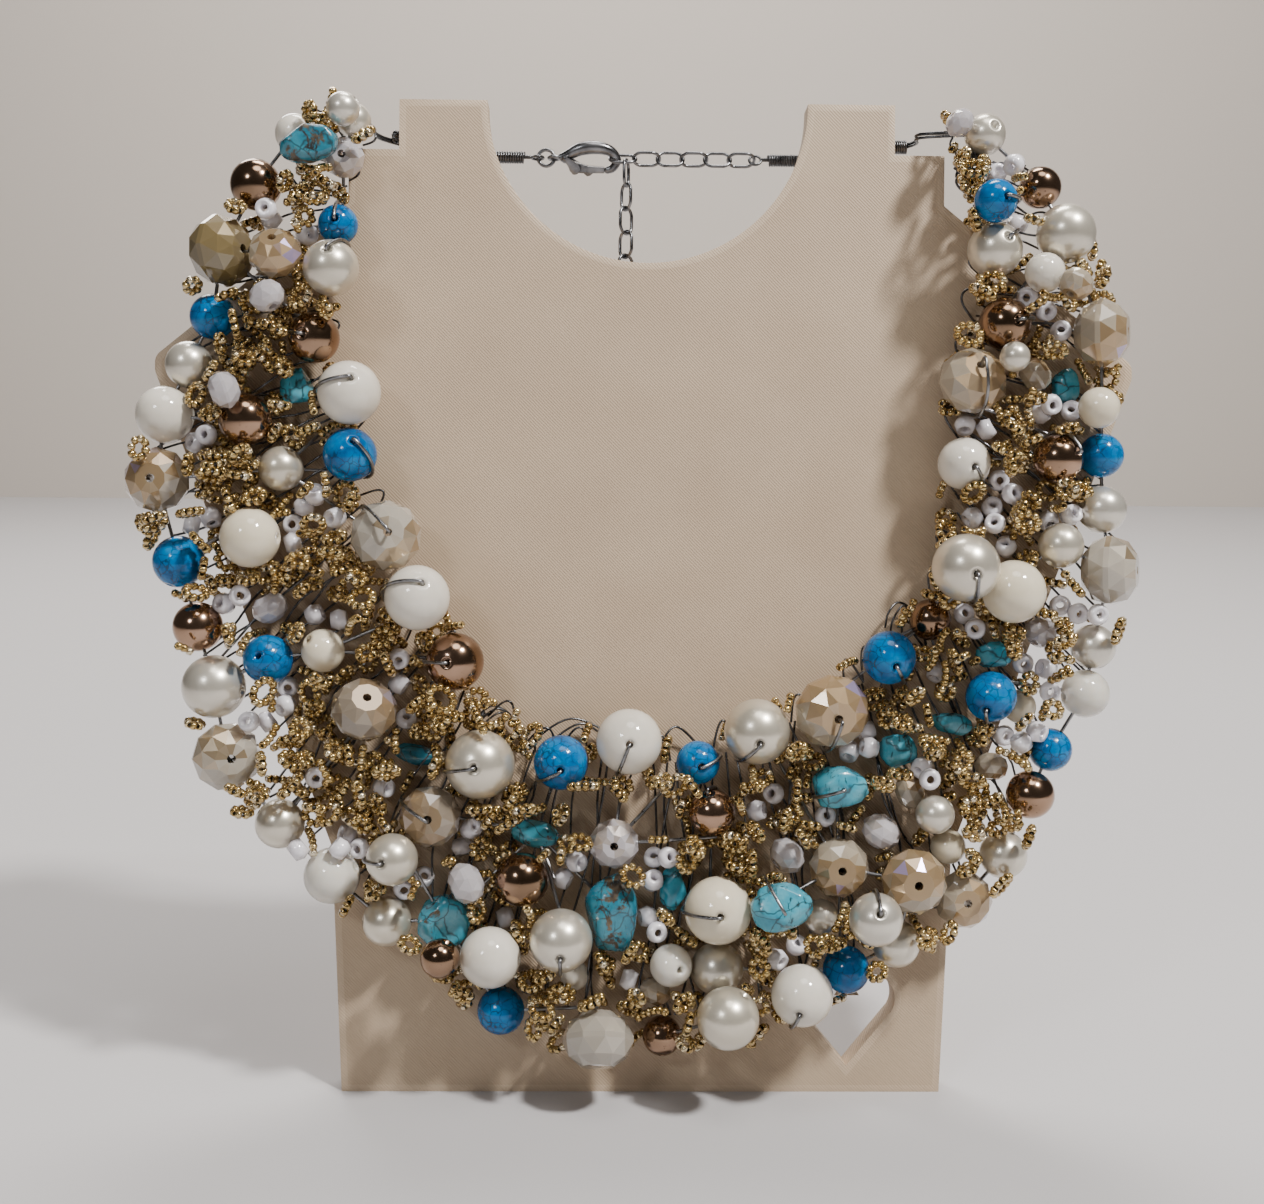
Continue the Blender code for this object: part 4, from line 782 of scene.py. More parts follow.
def pearl_finish():
    """Satin lacquer with a slow drift of tone over the bead and from bead to bead."""
    look = Finish("pearl_lacquer", (0.70, 0.64, 0.53), 0.30, 0.65, Coat_Weight=0.8, Coat_Roughness=0.06)
    place = look.object_coords()
    tone = look.attribute("bead_tone")
    pale = look.ramp(look.noise(place, 120.0, 2.0), [(0.3, (0.66, 0.60, 0.48)), (0.7, (0.76, 0.70, 0.58))])
    look.colour(look.mix(look.grey(tone, 0.0, 0.6), pale, (0.72, 0.70, 0.65)))
    look.roughness(look.grey(look.noise(place, 300.0), 0.27, 0.33))
    return look.material


def gloss_finish(name, dark, light, scatter):
    """Clouded glossy glass; scatter is how much light wanders inside it."""
    look = Finish(name, light, 0.10, 0.0, Coat_Weight=0.5, Coat_Roughness=0.03, IOR=1.5,
                  Subsurface_Weight=scatter, Subsurface_Radius=(0.002, 0.0015, 0.001),
                  Subsurface_Scale=1.0)
    place = look.object_coords()
    look.colour(look.ramp(look.noise(place, 120.0, 3.0, 0.6), [(0.30, dark), (0.65, light)]))
    look.roughness(look.grey(look.noise(place, 700.0), 0.07, 0.15))
    look.bump(look.noise(place, 1500.0), 0.03, 0.0001)
    return look.material


FINISH = {
    "pearl": pearl_finish(),
    "ivory": gloss_finish("ivory_gloss", (0.67, 0.62, 0.53), (0.77, 0.72, 0.63), 0.04),
    "cream": gloss_finish("cream_gloss", (0.68, 0.60, 0.45), (0.78, 0.70, 0.54), 0.04),
    "milky_round": gloss_finish("moonstone_gloss", (0.56, 0.53, 0.46), (0.70, 0.67, 0.60), 0.30),
}

# %% [markdown]
# ### Dyed blue rounds and turquoise nuggets
#
# The blue rounds are howlite, a white stone whose pores take up dye; its veins stay as a
# dark web. The edges of Voronoi cells, bent by noise, draw such a web. The nuggets are
# turquoise with broader brown and black matrix.

# %% Stone finishes
WARP_SHARE = 0.9


def veins(look, scale, bend, width):
    """A web of lines bent by noise: one on a vein and zero between veins."""
    place = look.object_coords()
    warp = look.node("ShaderNodeTexNoise")
    warp.inputs["Scale"].default_value = scale * WARP_SHARE
    warp.inputs["Detail"].default_value = 3.0
    look.link(place, warp.inputs["Vector"])
    bent = look.node("ShaderNodeVectorMath", operation="MULTIPLY_ADD")
    bent.inputs[1].default_value = (bend, bend, bend)
    look.link(warp.outputs["Color"], bent.inputs[0])
    look.link(place, bent.inputs[2])
    edge = look.cell_edges(bent.outputs["Vector"], scale)
    return place, look.grey(edge, 1.0, 0.0, 0.0, width)


def blue_finish():
    """Dyed stone whose web of veins shows only in patches."""
    look = Finish("dyed_howlite", (0.0, 0.16, 0.42), 0.22, 0.0, Coat_Weight=0.15, Coat_Roughness=0.04,
                  Specular_IOR_Level=0.3)
    place, web = veins(look, 540.0, 0.0016, 0.065)
    ground = look.ramp(look.noise(place, 260.0, 4.0, 0.6),
                       [(0.30, (0.0, 0.060, 0.200)), (0.52, (0.0, 0.140, 0.380)),
                        (0.80, (0.004, 0.240, 0.500))])
    patches = look.grey(look.noise(place, 170.0, 2.0), 0.15, 1.0, 0.36, 0.56)
    seen = look.product(web, patches)
    look.colour(look.mix(seen, ground, (0.002, 0.020, 0.045)))
    look.roughness(look.grey(seen, 0.12, 0.35))
    look.bump(look.grey(seen, 1.0, 0.0), 0.10, 0.0001)
    return look.material


def nugget_finish(name, deep, middle, pale, matrix_from):
    """Turquoise with veins, fine scratches and brown matrix where a noise passes matrix_from."""
    look = Finish(name, middle, 0.28, 0.0, Coat_Weight=0.3, Coat_Roughness=0.15)
    place, web = veins(look, 190.0, 0.0060, 0.045)
    ground = look.ramp(look.noise(place, 240.0, 4.0, 0.6), [(0.25, deep), (0.5, middle), (0.8, pale)])
    patches = look.grey(look.noise(place, 230.0, 5.0, 0.7, 0.6), 0.0, 1.0, matrix_from, matrix_from + 0.05)
    brown = look.ramp(look.noise(place, 600.0, 3.0),
                      [(0.40, (0.010, 0.009, 0.008)), (0.7, (0.13, 0.085, 0.04))])
    scratch = look.noise(look.object_coords(scale=(1.0, 1.0, 0.18), turn=(0.3, 0.6, 0.2)), 1300.0, 3.0, 0.6)
    flecks = look.grey(scratch, 0.0, 0.8, 0.60, 0.68)
    marked = look.mix(flecks, ground, (0.012, 0.030, 0.030))
    veined = look.mix(look.grey(web, 0.0, 0.8), marked, (0.02, 0.02, 0.018))
    look.colour(look.mix(patches, veined, brown))
    look.roughness(look.grey(patches, 0.22, 0.5))
    look.bump(look.noise(place, 900.0, 4.0), 0.25, 0.0002)
    return look.material


FINISH["blue"] = blue_finish()
FINISH["nugget_bright"] = nugget_finish("turquoise_bright", (0.02, 0.20, 0.30), (0.05, 0.33, 0.44),
                                        (0.18, 0.48, 0.57), 0.60)
FINISH["nugget_dark"] = nugget_finish("turquoise_dark", (0.008, 0.085, 0.135), (0.022, 0.175, 0.25),
                                      (0.05, 0.27, 0.34), 0.54)

# %% [markdown]
# ### Copper, cut glass, seeds, wire and the printed board
#
# The copper rounds are plated and mirror the room, with small specks where the plating has
# worn. The rondelles are milky glass, and half of each is coated in champagne lustre, so a
# facet is bright or dull by the way it faces; the facets also carry painted shading by the
# way they face, and the coated ones turned most that way carry a painted glint. The gold seeds are
# amber glass with a silver lining, which is closest to a soft metal under a clear coat.

# %% Metal and glass finishes


def copper_finish():
    """Mirror plate in two tones of rose gold, with worn specks."""
    look = Finish("rose_gold_plate", (0.58, 0.36, 0.24), 0.12, 1.0)
    place = look.object_coords()
    specks = look.grey(look.noise(place, 1500.0, 4.0, 0.7), 0.0, 1.0, 0.64, 0.70)
    tint = look.ramp(look.noise(place, 110.0, 2.0), [(0.3, (0.23, 0.15, 0.095)), (0.7, (0.46, 0.30, 0.21))])
    look.colour(look.mix(specks, tint, (0.08, 0.05, 0.035)))
    look.roughness(look.grey(look.noise(place, 420.0, 3.0), 0.08, 0.22))
    return look.material


def rondelle_finish(name, glass, coat, coat_from, metallic, painted_glint):
    """Milky glass whose facets carry their own tone: the ones above a tone are coated, the others get painted
    shading by the way they face, and the coated ones turned most that way get a painted glint.
    """
    look = Finish(name, glass, 0.06, 0.0, Coat_Weight=1.0, Coat_Roughness=0.02, IOR=1.6,
                  Subsurface_Weight=0.35, Subsurface_Radius=(0.004, 0.0035, 0.003), Subsurface_Scale=1.0)
    facet = look.attribute("facet_tone")
    cloud = look.noise(look.object_coords(), 140.0, 3.0)
    coated = look.grey(facet, 0.0, 1.0, coat_from, coat_from + 0.05)
    # Painted shading: a lit and a shaded copy of the glass, chosen by the way each facet faces; the darker
    # copy also tints the cloud
    cloud_and_shade_tone = tuple(0.80 * c for c in glass)
    lit = tuple(min(1.0, 1.08 * c) for c in glass)
    depth = look.mix(look.grey(facet, 0.0, 1.0, 0.0, coat_from), cloud_and_shade_tone, lit)
    body = look.mix(look.grey(cloud, 0.0, 0.5, 0.3, 0.7), depth, cloud_and_shade_tone)
    # Painted glint: the coated facets turned most to the coated side take the glint colour
    lustre = look.mix(look.grey(facet, 0.0, 1.0, 0.93, 0.96), coat, painted_glint)
    look.colour(look.mix(coated, body, lustre))
    look.link(look.grey(coated, 0.0, metallic), look.shader.inputs["Metallic"])
    look.roughness(look.grey(coated, 0.05, 0.20))
    return look.material


def seed_finish():
    """Amber glass over a mirror lining: a warm body that throws small bright glints."""
    look = Finish("silver_lined_amber", (0.70, 0.48, 0.16), 0.16, 0.85, Coat_Weight=1.0, Coat_Roughness=0.03)
    ground = look.ramp(look.attribute("bead_tone"),
                       [(0.0, (0.36, 0.23, 0.07)), (0.5, (0.58, 0.41, 0.15)),
                        (0.88, (0.68, 0.52, 0.25)), (1.0, (0.80, 0.71, 0.53))])
    glint = look.noise(look.object_coords(), 2600.0, 2.0)
    look.colour(look.mix(look.grey(glint, 0.0, 0.6, 0.50, 0.66), ground, (0.24, 0.13, 0.03)))
    look.roughness(look.grey(glint, 0.08, 0.26))
    look.bump(glint, 0.4, 0.0002)
    return look.material


def white_seed_finish():
    """Chalk glass under a thin lustre, a little different from seed to seed."""
    look = Finish("pearl_white_seed", (0.88, 0.86, 0.90), 0.14, 0.05, Coat_Weight=0.8, Coat_Roughness=0.05)
    look.colour(look.ramp(look.attribute("bead_tone"),
                          [(0.0, (0.80, 0.77, 0.82)), (1.0, (0.92, 0.90, 0.95))]))
    look.roughness(look.grey(look.noise(look.object_coords(), 1200.0), 0.12, 0.22))
    return look.material


def wire_finish(name, dark, light):
    """Gunmetal plate, clouded between a dark and a lighter grey."""
    look = Finish(name, dark, 0.28, 1.0)
    cloud = look.noise(look.object_coords(), 500.0, 3.0)
    look.colour(look.ramp(cloud, [(0.3, dark), (0.7, light)]))
    look.roughness(look.grey(cloud, 0.20, 0.38))
    return look.material


def print_finish():
    """Printed plastic: lines laid side by side on the slant, a paler band at the rims, and a painted
    highlight on the rounded edges.
    """
    look = Finish("printed_peach", (0.49, 0.37, 0.26), 0.50, 0.0, Specular_IOR_Level=0.4)
    place = look.object_coords(turn=(0, math.radians(45), 0))
    lines = look.node("ShaderNodeTexWave", wave_type="BANDS", bands_direction="X")
    lines.inputs["Scale"].default_value = 740.0
    lines.inputs["Distortion"].default_value = 0.6
    lines.inputs["Detail"].default_value = 1.0
    look.link(place, lines.inputs["Vector"])
    cloud = look.noise(look.object_coords(), 60.0, 4.0)
    ground = look.ramp(cloud, [(0.3, (0.475, 0.355, 0.245)), (0.7, (0.525, 0.400, 0.280))])
    laid = look.mix(look.grey(lines.outputs["Fac"], 0.0, 0.25), ground, (0.38, 0.28, 0.195))
    # The rim band is paler; the rounded edges get the palest tone, which is a painted highlight
    look.colour(look.mix(look.attribute("rim_and_edge_highlight_tone"), laid, (0.62, 0.485, 0.35)))
    look.roughness(look.grey(lines.outputs["Fac"], 0.42, 0.58))
    look.bump(lines.outputs["Fac"], 0.45, 0.00010)
    return look.material


# Glass, coat, the tone from which facets are coated, how metallic the coat is, and its painted glint colour
RONDELLE_LOOKS = {
    "champagne": ((0.37, 0.315, 0.24), (0.40, 0.28, 0.155), 0.58, 0.45, (0.42, 0.34, 0.52)),
    "smoky": ((0.25, 0.205, 0.155), (0.33, 0.235, 0.14), 0.60, 0.4, (0.38, 0.32, 0.36)),
    "khaki": ((0.18, 0.135, 0.062), (0.25, 0.19, 0.10), 0.62, 0.4, (0.34, 0.28, 0.18)),
    "milky": ((0.42, 0.38, 0.32), (0.43, 0.33, 0.21), 0.76, 0.6, (0.62, 0.56, 0.46)),
    "opal": ((0.52, 0.49, 0.51), (0.52, 0.46, 0.42), 0.74, 0.35, (0.60, 0.57, 0.60)),
}
for look_name, tones in RONDELLE_LOOKS.items():
    FINISH["rondelle_" + look_name] = rondelle_finish("rondelle_" + look_name, *tones)
FINISH.update({
    "copper": copper_finish(),
    "gold_seed": seed_finish(),
    "white_seed": white_seed_finish(),
    "wire": wire_finish("gunmetal_wire", (0.05, 0.05, 0.052), (0.16, 0.16, 0.165)),
    # The wires round and between the beads get a lighter copy of the same gunmetal, which is painted light
    "bead_wire": wire_finish("gunmetal_wire_painted_lit", (0.15, 0.15, 0.155), (0.36, 0.36, 0.37)),
    "clasp": wire_finish("gunmetal_clasp", (0.10, 0.10, 0.105), (0.27, 0.27, 0.28)),
    "stand": print_finish(),
})
print("finishes:", sorted(FINISH))

# %% [markdown]
# ## Round beads
#
# A drilled round bead is turned: one point is spun into an arc from one rim of the hole to
# the other, an edge closes the arc into the wall of the hole, and the outline is spun once
# round the hole's axis.

# %% Drilled rounds
ROUND_SIDES, ROUND_STEPS = 40, 20
SMALL_ROUND_SIDES, SMALL_ROUND_STEPS = 28, 14
TRIAL_RADIUS = 0.006
WELD = 0.0000005


def turn_on_lathe(bm, sides):
    """Spins the outline in the mesh once round z and closes the seam and the poles."""
    bmesh.ops.spin(bm, geom=bm.verts[:] + bm.edges[:], cent=(0, 0, 0), axis=(0, 0, 1),
                   angle=math.tau, steps=sides, use_merge=True)
    bmesh.ops.remove_doubles(bm, verts=bm.verts, dist=WELD)


def drilled_round(radius, hole, sides, steps):
    """A round bead with z along its hole."""
    bm = bmesh.new()
    start = math.asin(hole / radius)
    first = bm.verts.new((hole, 0, radius * math.cos(start)))
    bmesh.ops.spin(bm, geom=[first], cent=(0, 0, 0), axis=(0, 1, 0),
                   angle=math.pi - 2 * start, steps=steps)
    bm.verts.ensure_lookup_table()
    bm.edges.new([v for v in bm.verts if len(v.link_edges) == 1])
    turn_on_lathe(bm, sides)
    return shape_from_bmesh(bm)


trial = drilled_round(TRIAL_RADIUS, HOLE_RADIUS, ROUND_SIDES, ROUND_STEPS)
print("a drilled round has", len(trial.faces), "faces")

# %% [markdown]
# ## Cut rondelles
#
# A rondelle is a flattened bead ground with a table round each end of the hole and rows of
# lozenge facets between. The corners of such a cut lie on a few rings, each turned by half
# a step against the next. Their convex hull is the cut stone, and dissolving its flat edges
# leaves the lozenges. The tables are then inset to the hole and bridged through.

# %% Cut rondelles
RONDELLE_FACETS = 10
TABLE_SHARE = 0.46
# Each ring's share of the radius, share of the half length and turn in steps
CUT_RINGS = [(TABLE_SHARE, 1.0, 0.0), (0.82, 0.66, 0.5), (1.0, 0.10, 0.0)]
FLAT_WITHIN = math.radians(1.5)


def cut_rondelle(radius, half_length, hole):
    """A cut bead with z along its hole."""
    bm = bmesh.new()
    step = math.tau / RONDELLE_FACETS
    for wide, high, turn in CUT_RINGS + [(wide, -high, turn) for wide, high, turn in CUT_RINGS]:
        for i in range(RONDELLE_FACETS):
            angle = (turn + i) * step
            bm.verts.new((wide * radius * math.cos(angle), wide * radius * math.sin(angle),
                          high * half_length))
    bmesh.ops.convex_hull(bm, input=bm.verts[:])
    bmesh.ops.dissolve_limit(bm, angle_limit=FLAT_WITHIN, verts=bm.verts[:], edges=bm.edges[:])
    bm.normal_update()
    tables = [face for face in bm.faces if abs(face.normal.z) > 0.999]
    table_reach = TABLE_SHARE * radius * math.cos(math.pi / RONDELLE_FACETS)
    bmesh.ops.inset_individual(bm, faces=tables, thickness=table_reach - hole)
    rims = [edge for face in tables for edge in face.edges]
    bmesh.ops.delete(bm, geom=tables, context="FACES_ONLY")
    bmesh.ops.bridge_loops(bm, edges=rims)
    return shape_from_bmesh(bm, smooth=False)


trial = cut_rondelle(TRIAL_RADIUS, TRIAL_RADIUS * RONDELLE_LENGTH_SHARE, HOLE_RADIUS)
print("a rondelle has", len(trial.faces), "facets and wall faces")

# %% [markdown]
# ## Nuggets
#
# A tumbled nugget is a pebble: an ellipsoid whose surface swells and sinks. An icosphere
# gets its points moved along their own direction by smooth noise, never outwards past the
# ellipsoid that keeps it clear of its neighbours.

# %% Tumbled nuggets
NUGGET_LUMPS = 0.20
NUGGET_FIT = 0.97
# Where each seed number samples the noise, the noise's rates with their shares, and its mean
NOISE_STEPS = (7.3, 3.1, 5.7)
SWELLS = ((1.3, 0.6), (3.4, 0.4))
MEAN_SWELL = 0.4
# Rubbed sides: their directions before a small drawn turn, and how far the flats lie out
NUGGET_SIDES = [(1, 0, 0), (-1, 0, 0), (0, 1, 0), (0, -1, 0), (0, 0, 1), (0, 0, -1), (0.7, 0.7, 0.2),
                (-0.7, 0.6, 0.3)]
SIDE_SCATTER = 0.22
SIDE_REACH = (0.66, 0.86)
SIDE_WEAR = 0.85


def tumbled_nugget(wide, tall, deep, seed):
    """A pebble with lumps and rubbed flats that fills the given half sizes."""
    bm = bmesh.new()
    bmesh.ops.create_icosphere(bm, subdivisions=4, radius=1.0)
    draw = random.Random(seed)
    shift = Vector([seed * step for step in NOISE_STEPS])
    sides = []
    for side in NUGGET_SIDES:
        way = Vector(side) + Vector([draw.gauss(0, SIDE_SCATTER) for _ in range(3)])
        sides.append((way.normalized(), draw.uniform(*SIDE_REACH)))
    for vertex in bm.verts:
        swell = sum(noise.noise(vertex.co * rate + shift) * share for rate, share in SWELLS)
        vertex.co *= 1.0 - NUGGET_LUMPS * (MEAN_SWELL - swell)
        for way, reach in sides:
            over = vertex.co.dot(way) - reach
            if over > 0:
                vertex.co -= way * over * SIDE_WEAR
    spread = [max(abs(vertex.co[axis]) for vertex in bm.verts) for axis in range(3)]
    fit = [size * NUGGET_FIT / most for size, most in zip((wide, tall, deep), spread)]
    bmesh.ops.scale(bm, vec=fit, verts=bm.verts)
    return shape_from_bmesh(bm)


# %% Every large bead in its own shape
NUGGET_SEEDS = 17
LOOSE_SLANT = 0.97
FULL_SPIN = 6.28
FINE_ROUND_MM = 8.0


def bead_shape(bead, large):
    """The bead's form at its real size; large rounds get more faces."""
    wide, tall, deep = bead_semi_axes(bead)
    if bead.kind == "rondelle":
        return cut_rondelle(wide, deep, HOLE_RADIUS)
    if bead.kind == "nugget":
        return tumbled_nugget(wide, tall, deep, bead.x % NUGGET_SEEDS)
    sides, steps = (ROUND_SIDES, ROUND_STEPS) if large else (SMALL_ROUND_SIDES, SMALL_ROUND_STEPS)
    return drilled_round(wide, HOLE_RADIUS, sides, steps)


def bead_finish(bead):
    """Which finish a bead gets: its look, within its kind."""
    if bead.kind in ("rondelle", "nugget"):
        return f"{bead.kind}_{bead.look}"
    look = bead.look or bead.kind
    return "milky_round" if look == "milky" else look


# How far a nugget is turned about the line of sight, in degrees, by its place in the photo
NUGGET_TILTS = {(781, 907): 14, (308, 143): 8, (537, 834): -12, (952, 724): -10, (418, 755): -14,
                (840, 787): 10}


def bead_matrix(bead, centre, spin, sideways=False):
    """A bead's place and turn; where sideways is true, a loose bead shows its side."""
    turns = bead.kind == "round" or bead in SMALL_BEADS and bead.kind == "rondelle"
    if sideways and turns and not (bead.hole_right or bead.hole_up):
        bead = bead._replace(hole_right=LOOSE_SLANT * math.cos(spin), hole_up=LOOSE_SLANT * math.sin(spin))
    turn = Matrix(bead_turn(bead).tolist()).to_4x4()
    if bead.kind == "nugget":
        spin = math.radians(NUGGET_TILTS.get((bead.x, bead.y), 0))
    turn = turn @ Matrix.Rotation(spin, 4, "Z")
    return LEAN @ Matrix.Translation(centre) @ turn


SLOTS = {"pearl": "pearl", "ivory": "ivory", "cream": "cream", "milky_round": "cream", "blue": "blue",
         "copper": "copper", "nugget_bright": "nugget", "nugget_dark": "nugget"}
chance = random.Random(11)
for bead, name in main_names.items():
    finish = bead_finish(bead)
    one = Gathering()
    one.add(bead_shape(bead, True), bead_matrix(bead, main_places[bead][0], chance.uniform(0, FULL_SPIN)),
            chance.random(), chance)
    one.build("dressed_" + name, finish, SLOTS.get(finish, "rondelle"), [name])

other_places = list(zip(net_rows, net_centres)) + list(zip(SMALL_BEADS, small_centres))
groups = {}
for bead, centre in other_places:
    group = groups.setdefault(bead_finish(bead), Gathering())
    group.add(bead_shape(bead, bead.wide > FINE_ROUND_MM),
              bead_matrix(bead, centre, chance.uniform(0, FULL_SPIN), True), chance.random(), chance)
for finish, group in groups.items():
    group.build("net_" + finish, finish, SLOTS.get(finish, "rondelle"), ["bead_net_left", "bead_net_right"])
print("large beads dressed:", len(main_names) + len(other_places), "in",
      len(main_names) + len(groups), "pieces")

# %% [markdown]
# ## Seed beads
#
# A seed bead is a short length of glass tube whose ends were rounded in a kiln. One outline
# of five points, spun round the hole, is enough, because there are so many of them.

# %% One seed bead
GOLD_RADIUS, GOLD_HALF_LENGTH, GOLD_HOLE, GOLD_SIDES = 0.00080, 0.00054, 0.00034, 7
WHITE_RADIUS, WHITE_HALF_LENGTH, WHITE_HOLE, WHITE_SIDES = 0.00195, 0.00140, 0.00070, 16
# Where the rounded end meets the hole, as a share of the half length, and where it is highest
MOUTH_SHARE, CROWN_SHARE = 0.80, 0.76


def seed_bead(radius, half_length, hole, sides):
    """A seed bead with z along its hole."""
    bm = bmesh.new()
    outline = [(hole, MOUTH_SHARE * half_length), (CROWN_SHARE * radius, half_length), (radius, 0),
               (CROWN_SHARE * radius, -half_length), (hole, -MOUTH_SHARE * half_length)]
    corners = [bm.verts.new((x, 0, z)) for x, z in outline]
    for first, second in zip(corners, corners[1:] + corners[:1]):
        bm.edges.new((first, second))
    turn_on_lathe(bm, sides)
    return shape_from_bmesh(bm)


GOLD_SEED = seed_bead(GOLD_RADIUS, GOLD_HALF_LENGTH, GOLD_HOLE, GOLD_SIDES)
WHITE_SEED = seed_bead(WHITE_RADIUS, WHITE_HALF_LENGTH, WHITE_HOLE, WHITE_SIDES)
print("a gold seed has", len(GOLD_SEED.faces), "faces, a white one", len(WHITE_SEED.faces))

# %% White seeds where the photo shows them
WHITE_SEEDS = [
    (266, 209), (272, 221), (307, 235), (196, 443), (207, 435), (192, 525), (211, 518), (304, 507),
    (315, 495), (335, 518), (293, 525), (293, 543), (224, 604), (240, 596), (315, 615), (339, 620),
    (288, 687), (285, 706), (249, 722), (267, 722), (399, 659), (399, 684), (406, 719), (316, 778),
    (384, 788), (298, 850), (340, 849), (348, 835), (360, 849), (424, 877), (404, 890), (462, 847),
    (471, 829), (576, 862), (563, 879), (505, 918), (654, 858), (668, 858), (653, 881), (647, 917),
    (657, 933), (629, 980), (774, 794), (757, 811), (825, 817), (866, 731), (869, 748), (849, 752),
    (796, 946), (777, 960), (922, 768), (930, 780), (937, 673), (964, 614), (975, 629), (1023, 664),
    (1046, 669), (1060, 606), (1078, 614), (1098, 615), (1004, 736), (1037, 732), (1021, 743),
    (1050, 692), (965, 425), (986, 430), (1040, 414), (1051, 405), (1071, 411), (999, 481),
    (1012, 494), (992, 508), (995, 524), (972, 518), (1006, 547), (1048, 521), (1071, 515),
    (1014, 165), (996, 174), (1017, 225), (1027, 298), (1046, 311), (1061, 331),
]


WHITE_LIFT = 0.0035
WHITE_TILT = 1.5
WHITE_HULL = np.diag([WHITE_RADIUS * 0.92] * 3)


def loose_turn(chance, tilt):
    """A bead's turn with its hole within a tilt of the viewer's direction, in the board's frame."""
    around = chance.uniform(0, math.tau)
    lean = chance.uniform(0, tilt)
    hole = Vector((math.sin(lean) * math.cos(around), -math.cos(lean), math.sin(lean) * math.sin(around)))
    return hole.to_track_quat("Z", "Y").to_matrix().to_4x4()


# The face of each bead that the photo shows: its middle and its radius
faces_seen = [(centre, (bead.wide + bead.tall) * MM / 4)
              for bead, centre in [(bead, main_places[bead][0]) for bead in main_names] + other_places]
white = Gathering()
for x_px, y_px in WHITE_SEEDS:
    lift = WHITE_LIFT
    while not crowd.bead_clear(place_px(x_px, y_px, lift), WHITE_HULL, 0.0):
        lift += RISE_STEP
    centre = place_px(x_px, y_px, lift)
    crowd.add_bead(centre, WHITE_HULL)
    faces_seen.append((centre, WHITE_RADIUS))
    white.add(WHITE_SEED, LEAN @ Matrix.Translation(centre) @ loose_turn(chance, WHITE_TILT), chance.random())
white.build("white_seeds", "white_seed", "pearl")
print("white seeds:", len(WHITE_SEEDS))

# %% [markdown]
# ## Gold seeds in loops
#
# Between the large beads the wire carries small closed loops of seven to eleven seeds, and
# short strings of three to six. The band of the bib is given by its inner and outer edges. A
# loop is tried at a drawn place, depth and tilt, and it stays where it is clear of the
# beads and of the seeds that already lie there.

# %% The band of the bib
OUTER_EDGE = [
    (300, 105), (240, 180), (190, 250), (185, 320), (160, 370), (135, 430), (125, 490), (150, 560),
    (175, 640), (180, 700), (200, 770), (250, 830), (300, 880), (360, 930), (420, 970), (480, 1030),
    (560, 1062), (600, 1070), (660, 1055), (730, 1050), (800, 1030), (860, 990), (920, 960), (985, 920),
    (1025, 860), (1055, 800), (1070, 750), (1105, 700), (1120, 640), (1140, 570), (1125, 500),
    (1125, 440), (1120, 400), (1130, 330), (1100, 250), (1060, 200), (1030, 160), (1000, 115),
]
INNER_EDGE = [
    (378, 130), (355, 200), (350, 270), (338, 340), (375, 400), (372, 470), (415, 540), (445, 600),
    (480, 660), (505, 700), (530, 722), (600, 722), (640, 716), (700, 738), (750, 700), (800, 688),
    (860, 650), (890, 625), (930, 570), (942, 480), (940, 380), (962, 300), (965, 220), (950, 150),
    (938, 120),
]


def even_points(edge, count):
    """Points at even steps along an edge."""
    edge = np.array(edge, float)
    length = np.concatenate([[0], np.cumsum(np.linalg.norm(np.diff(edge, axis=0), axis=1))])
    steps = np.linspace(0, length[-1], count)
    return np.stack([np.interp(steps, length, edge[:, 0]), np.interp(steps, length, edge[:, 1])], 1)


EDGE_STEPS = 241
OUTER = even_points(OUTER_EDGE, EDGE_STEPS)
INNER = even_points(INNER_EDGE, EDGE_STEPS)


def band_px(along, across):
    """A place on the band: along from left end to right end, across from inner to outer edge."""
    place = along * (EDGE_STEPS - 1)
    index = min(int(place), EDGE_STEPS - 2)
    share = place - index
    inner = INNER[index] * (1 - share) + INNER[index + 1] * share
    outer = OUTER[index] * (1 - share) + OUTER[index + 1] * share
    return inner * (1 - across) + outer * across


def band_place(along, across, lift):
    """The same place in the board's frame, at a lift off its face."""
    x_px, y_px = band_px(along, across)
    return place_px(x_px, y_px, lift)


width = np.linalg.norm(INNER[EDGE_STEPS // 2] - OUTER[EDGE_STEPS // 2])
print("band width at the middle in pixels:", round(float(width)))

# %% Loops and strings of gold seeds
MAX_GOLD = 5250
LOOP_SHARE = 0.85
LOOP_TRIES, STRING_TRIES = 160000, 12000
LOOP_COUNTS, STRING_COUNTS = (7, 8, 8, 9, 10, 11), (3, 4, 5, 6)
LOOP_LIFTS, STRING_LIFTS = (0.0025, 0.0125), (0.0020, 0.0110)
# From the inner to the outer edge, and the power that draws loops outwards
NEAR_INNER, NEAR_OUTER, OUTWARDS = 0.02, 0.97, 0.75
# The step from seed to seed, a loop's long and short way, and how fast a string bends
GOLD_PITCH = 0.00116
LONG_WAY, SHORT_WAY = 1.12, 0.88
STRING_BEND = 0.25
# In seed radii: how near a seed's middle may lie to a bead's face and to another seed's middle
BEAD_NEARNESS, SEED_NEARNESS = 0.80, 1.50
# The grid's cell, which is more than the least spacing, and the height that parts the pieces
SEED_CELL = 0.0025
SEED_SPLIT = 0.075
# The share of a bead's face that stays free, and how far a seed may pass the band's edge
FACE_SHARE = 0.84
EDGE_SLACK_PX = 0.5
# Gaps in the picture where only bare strands are seen: across, down and radius in pixels
OPEN_SPOTS_PX = np.array([(595, 812, 24), (650, 815, 22), (575, 885, 18), (540, 790, 12),
                          (300, 415, 14), (312, 462, 16)], float)

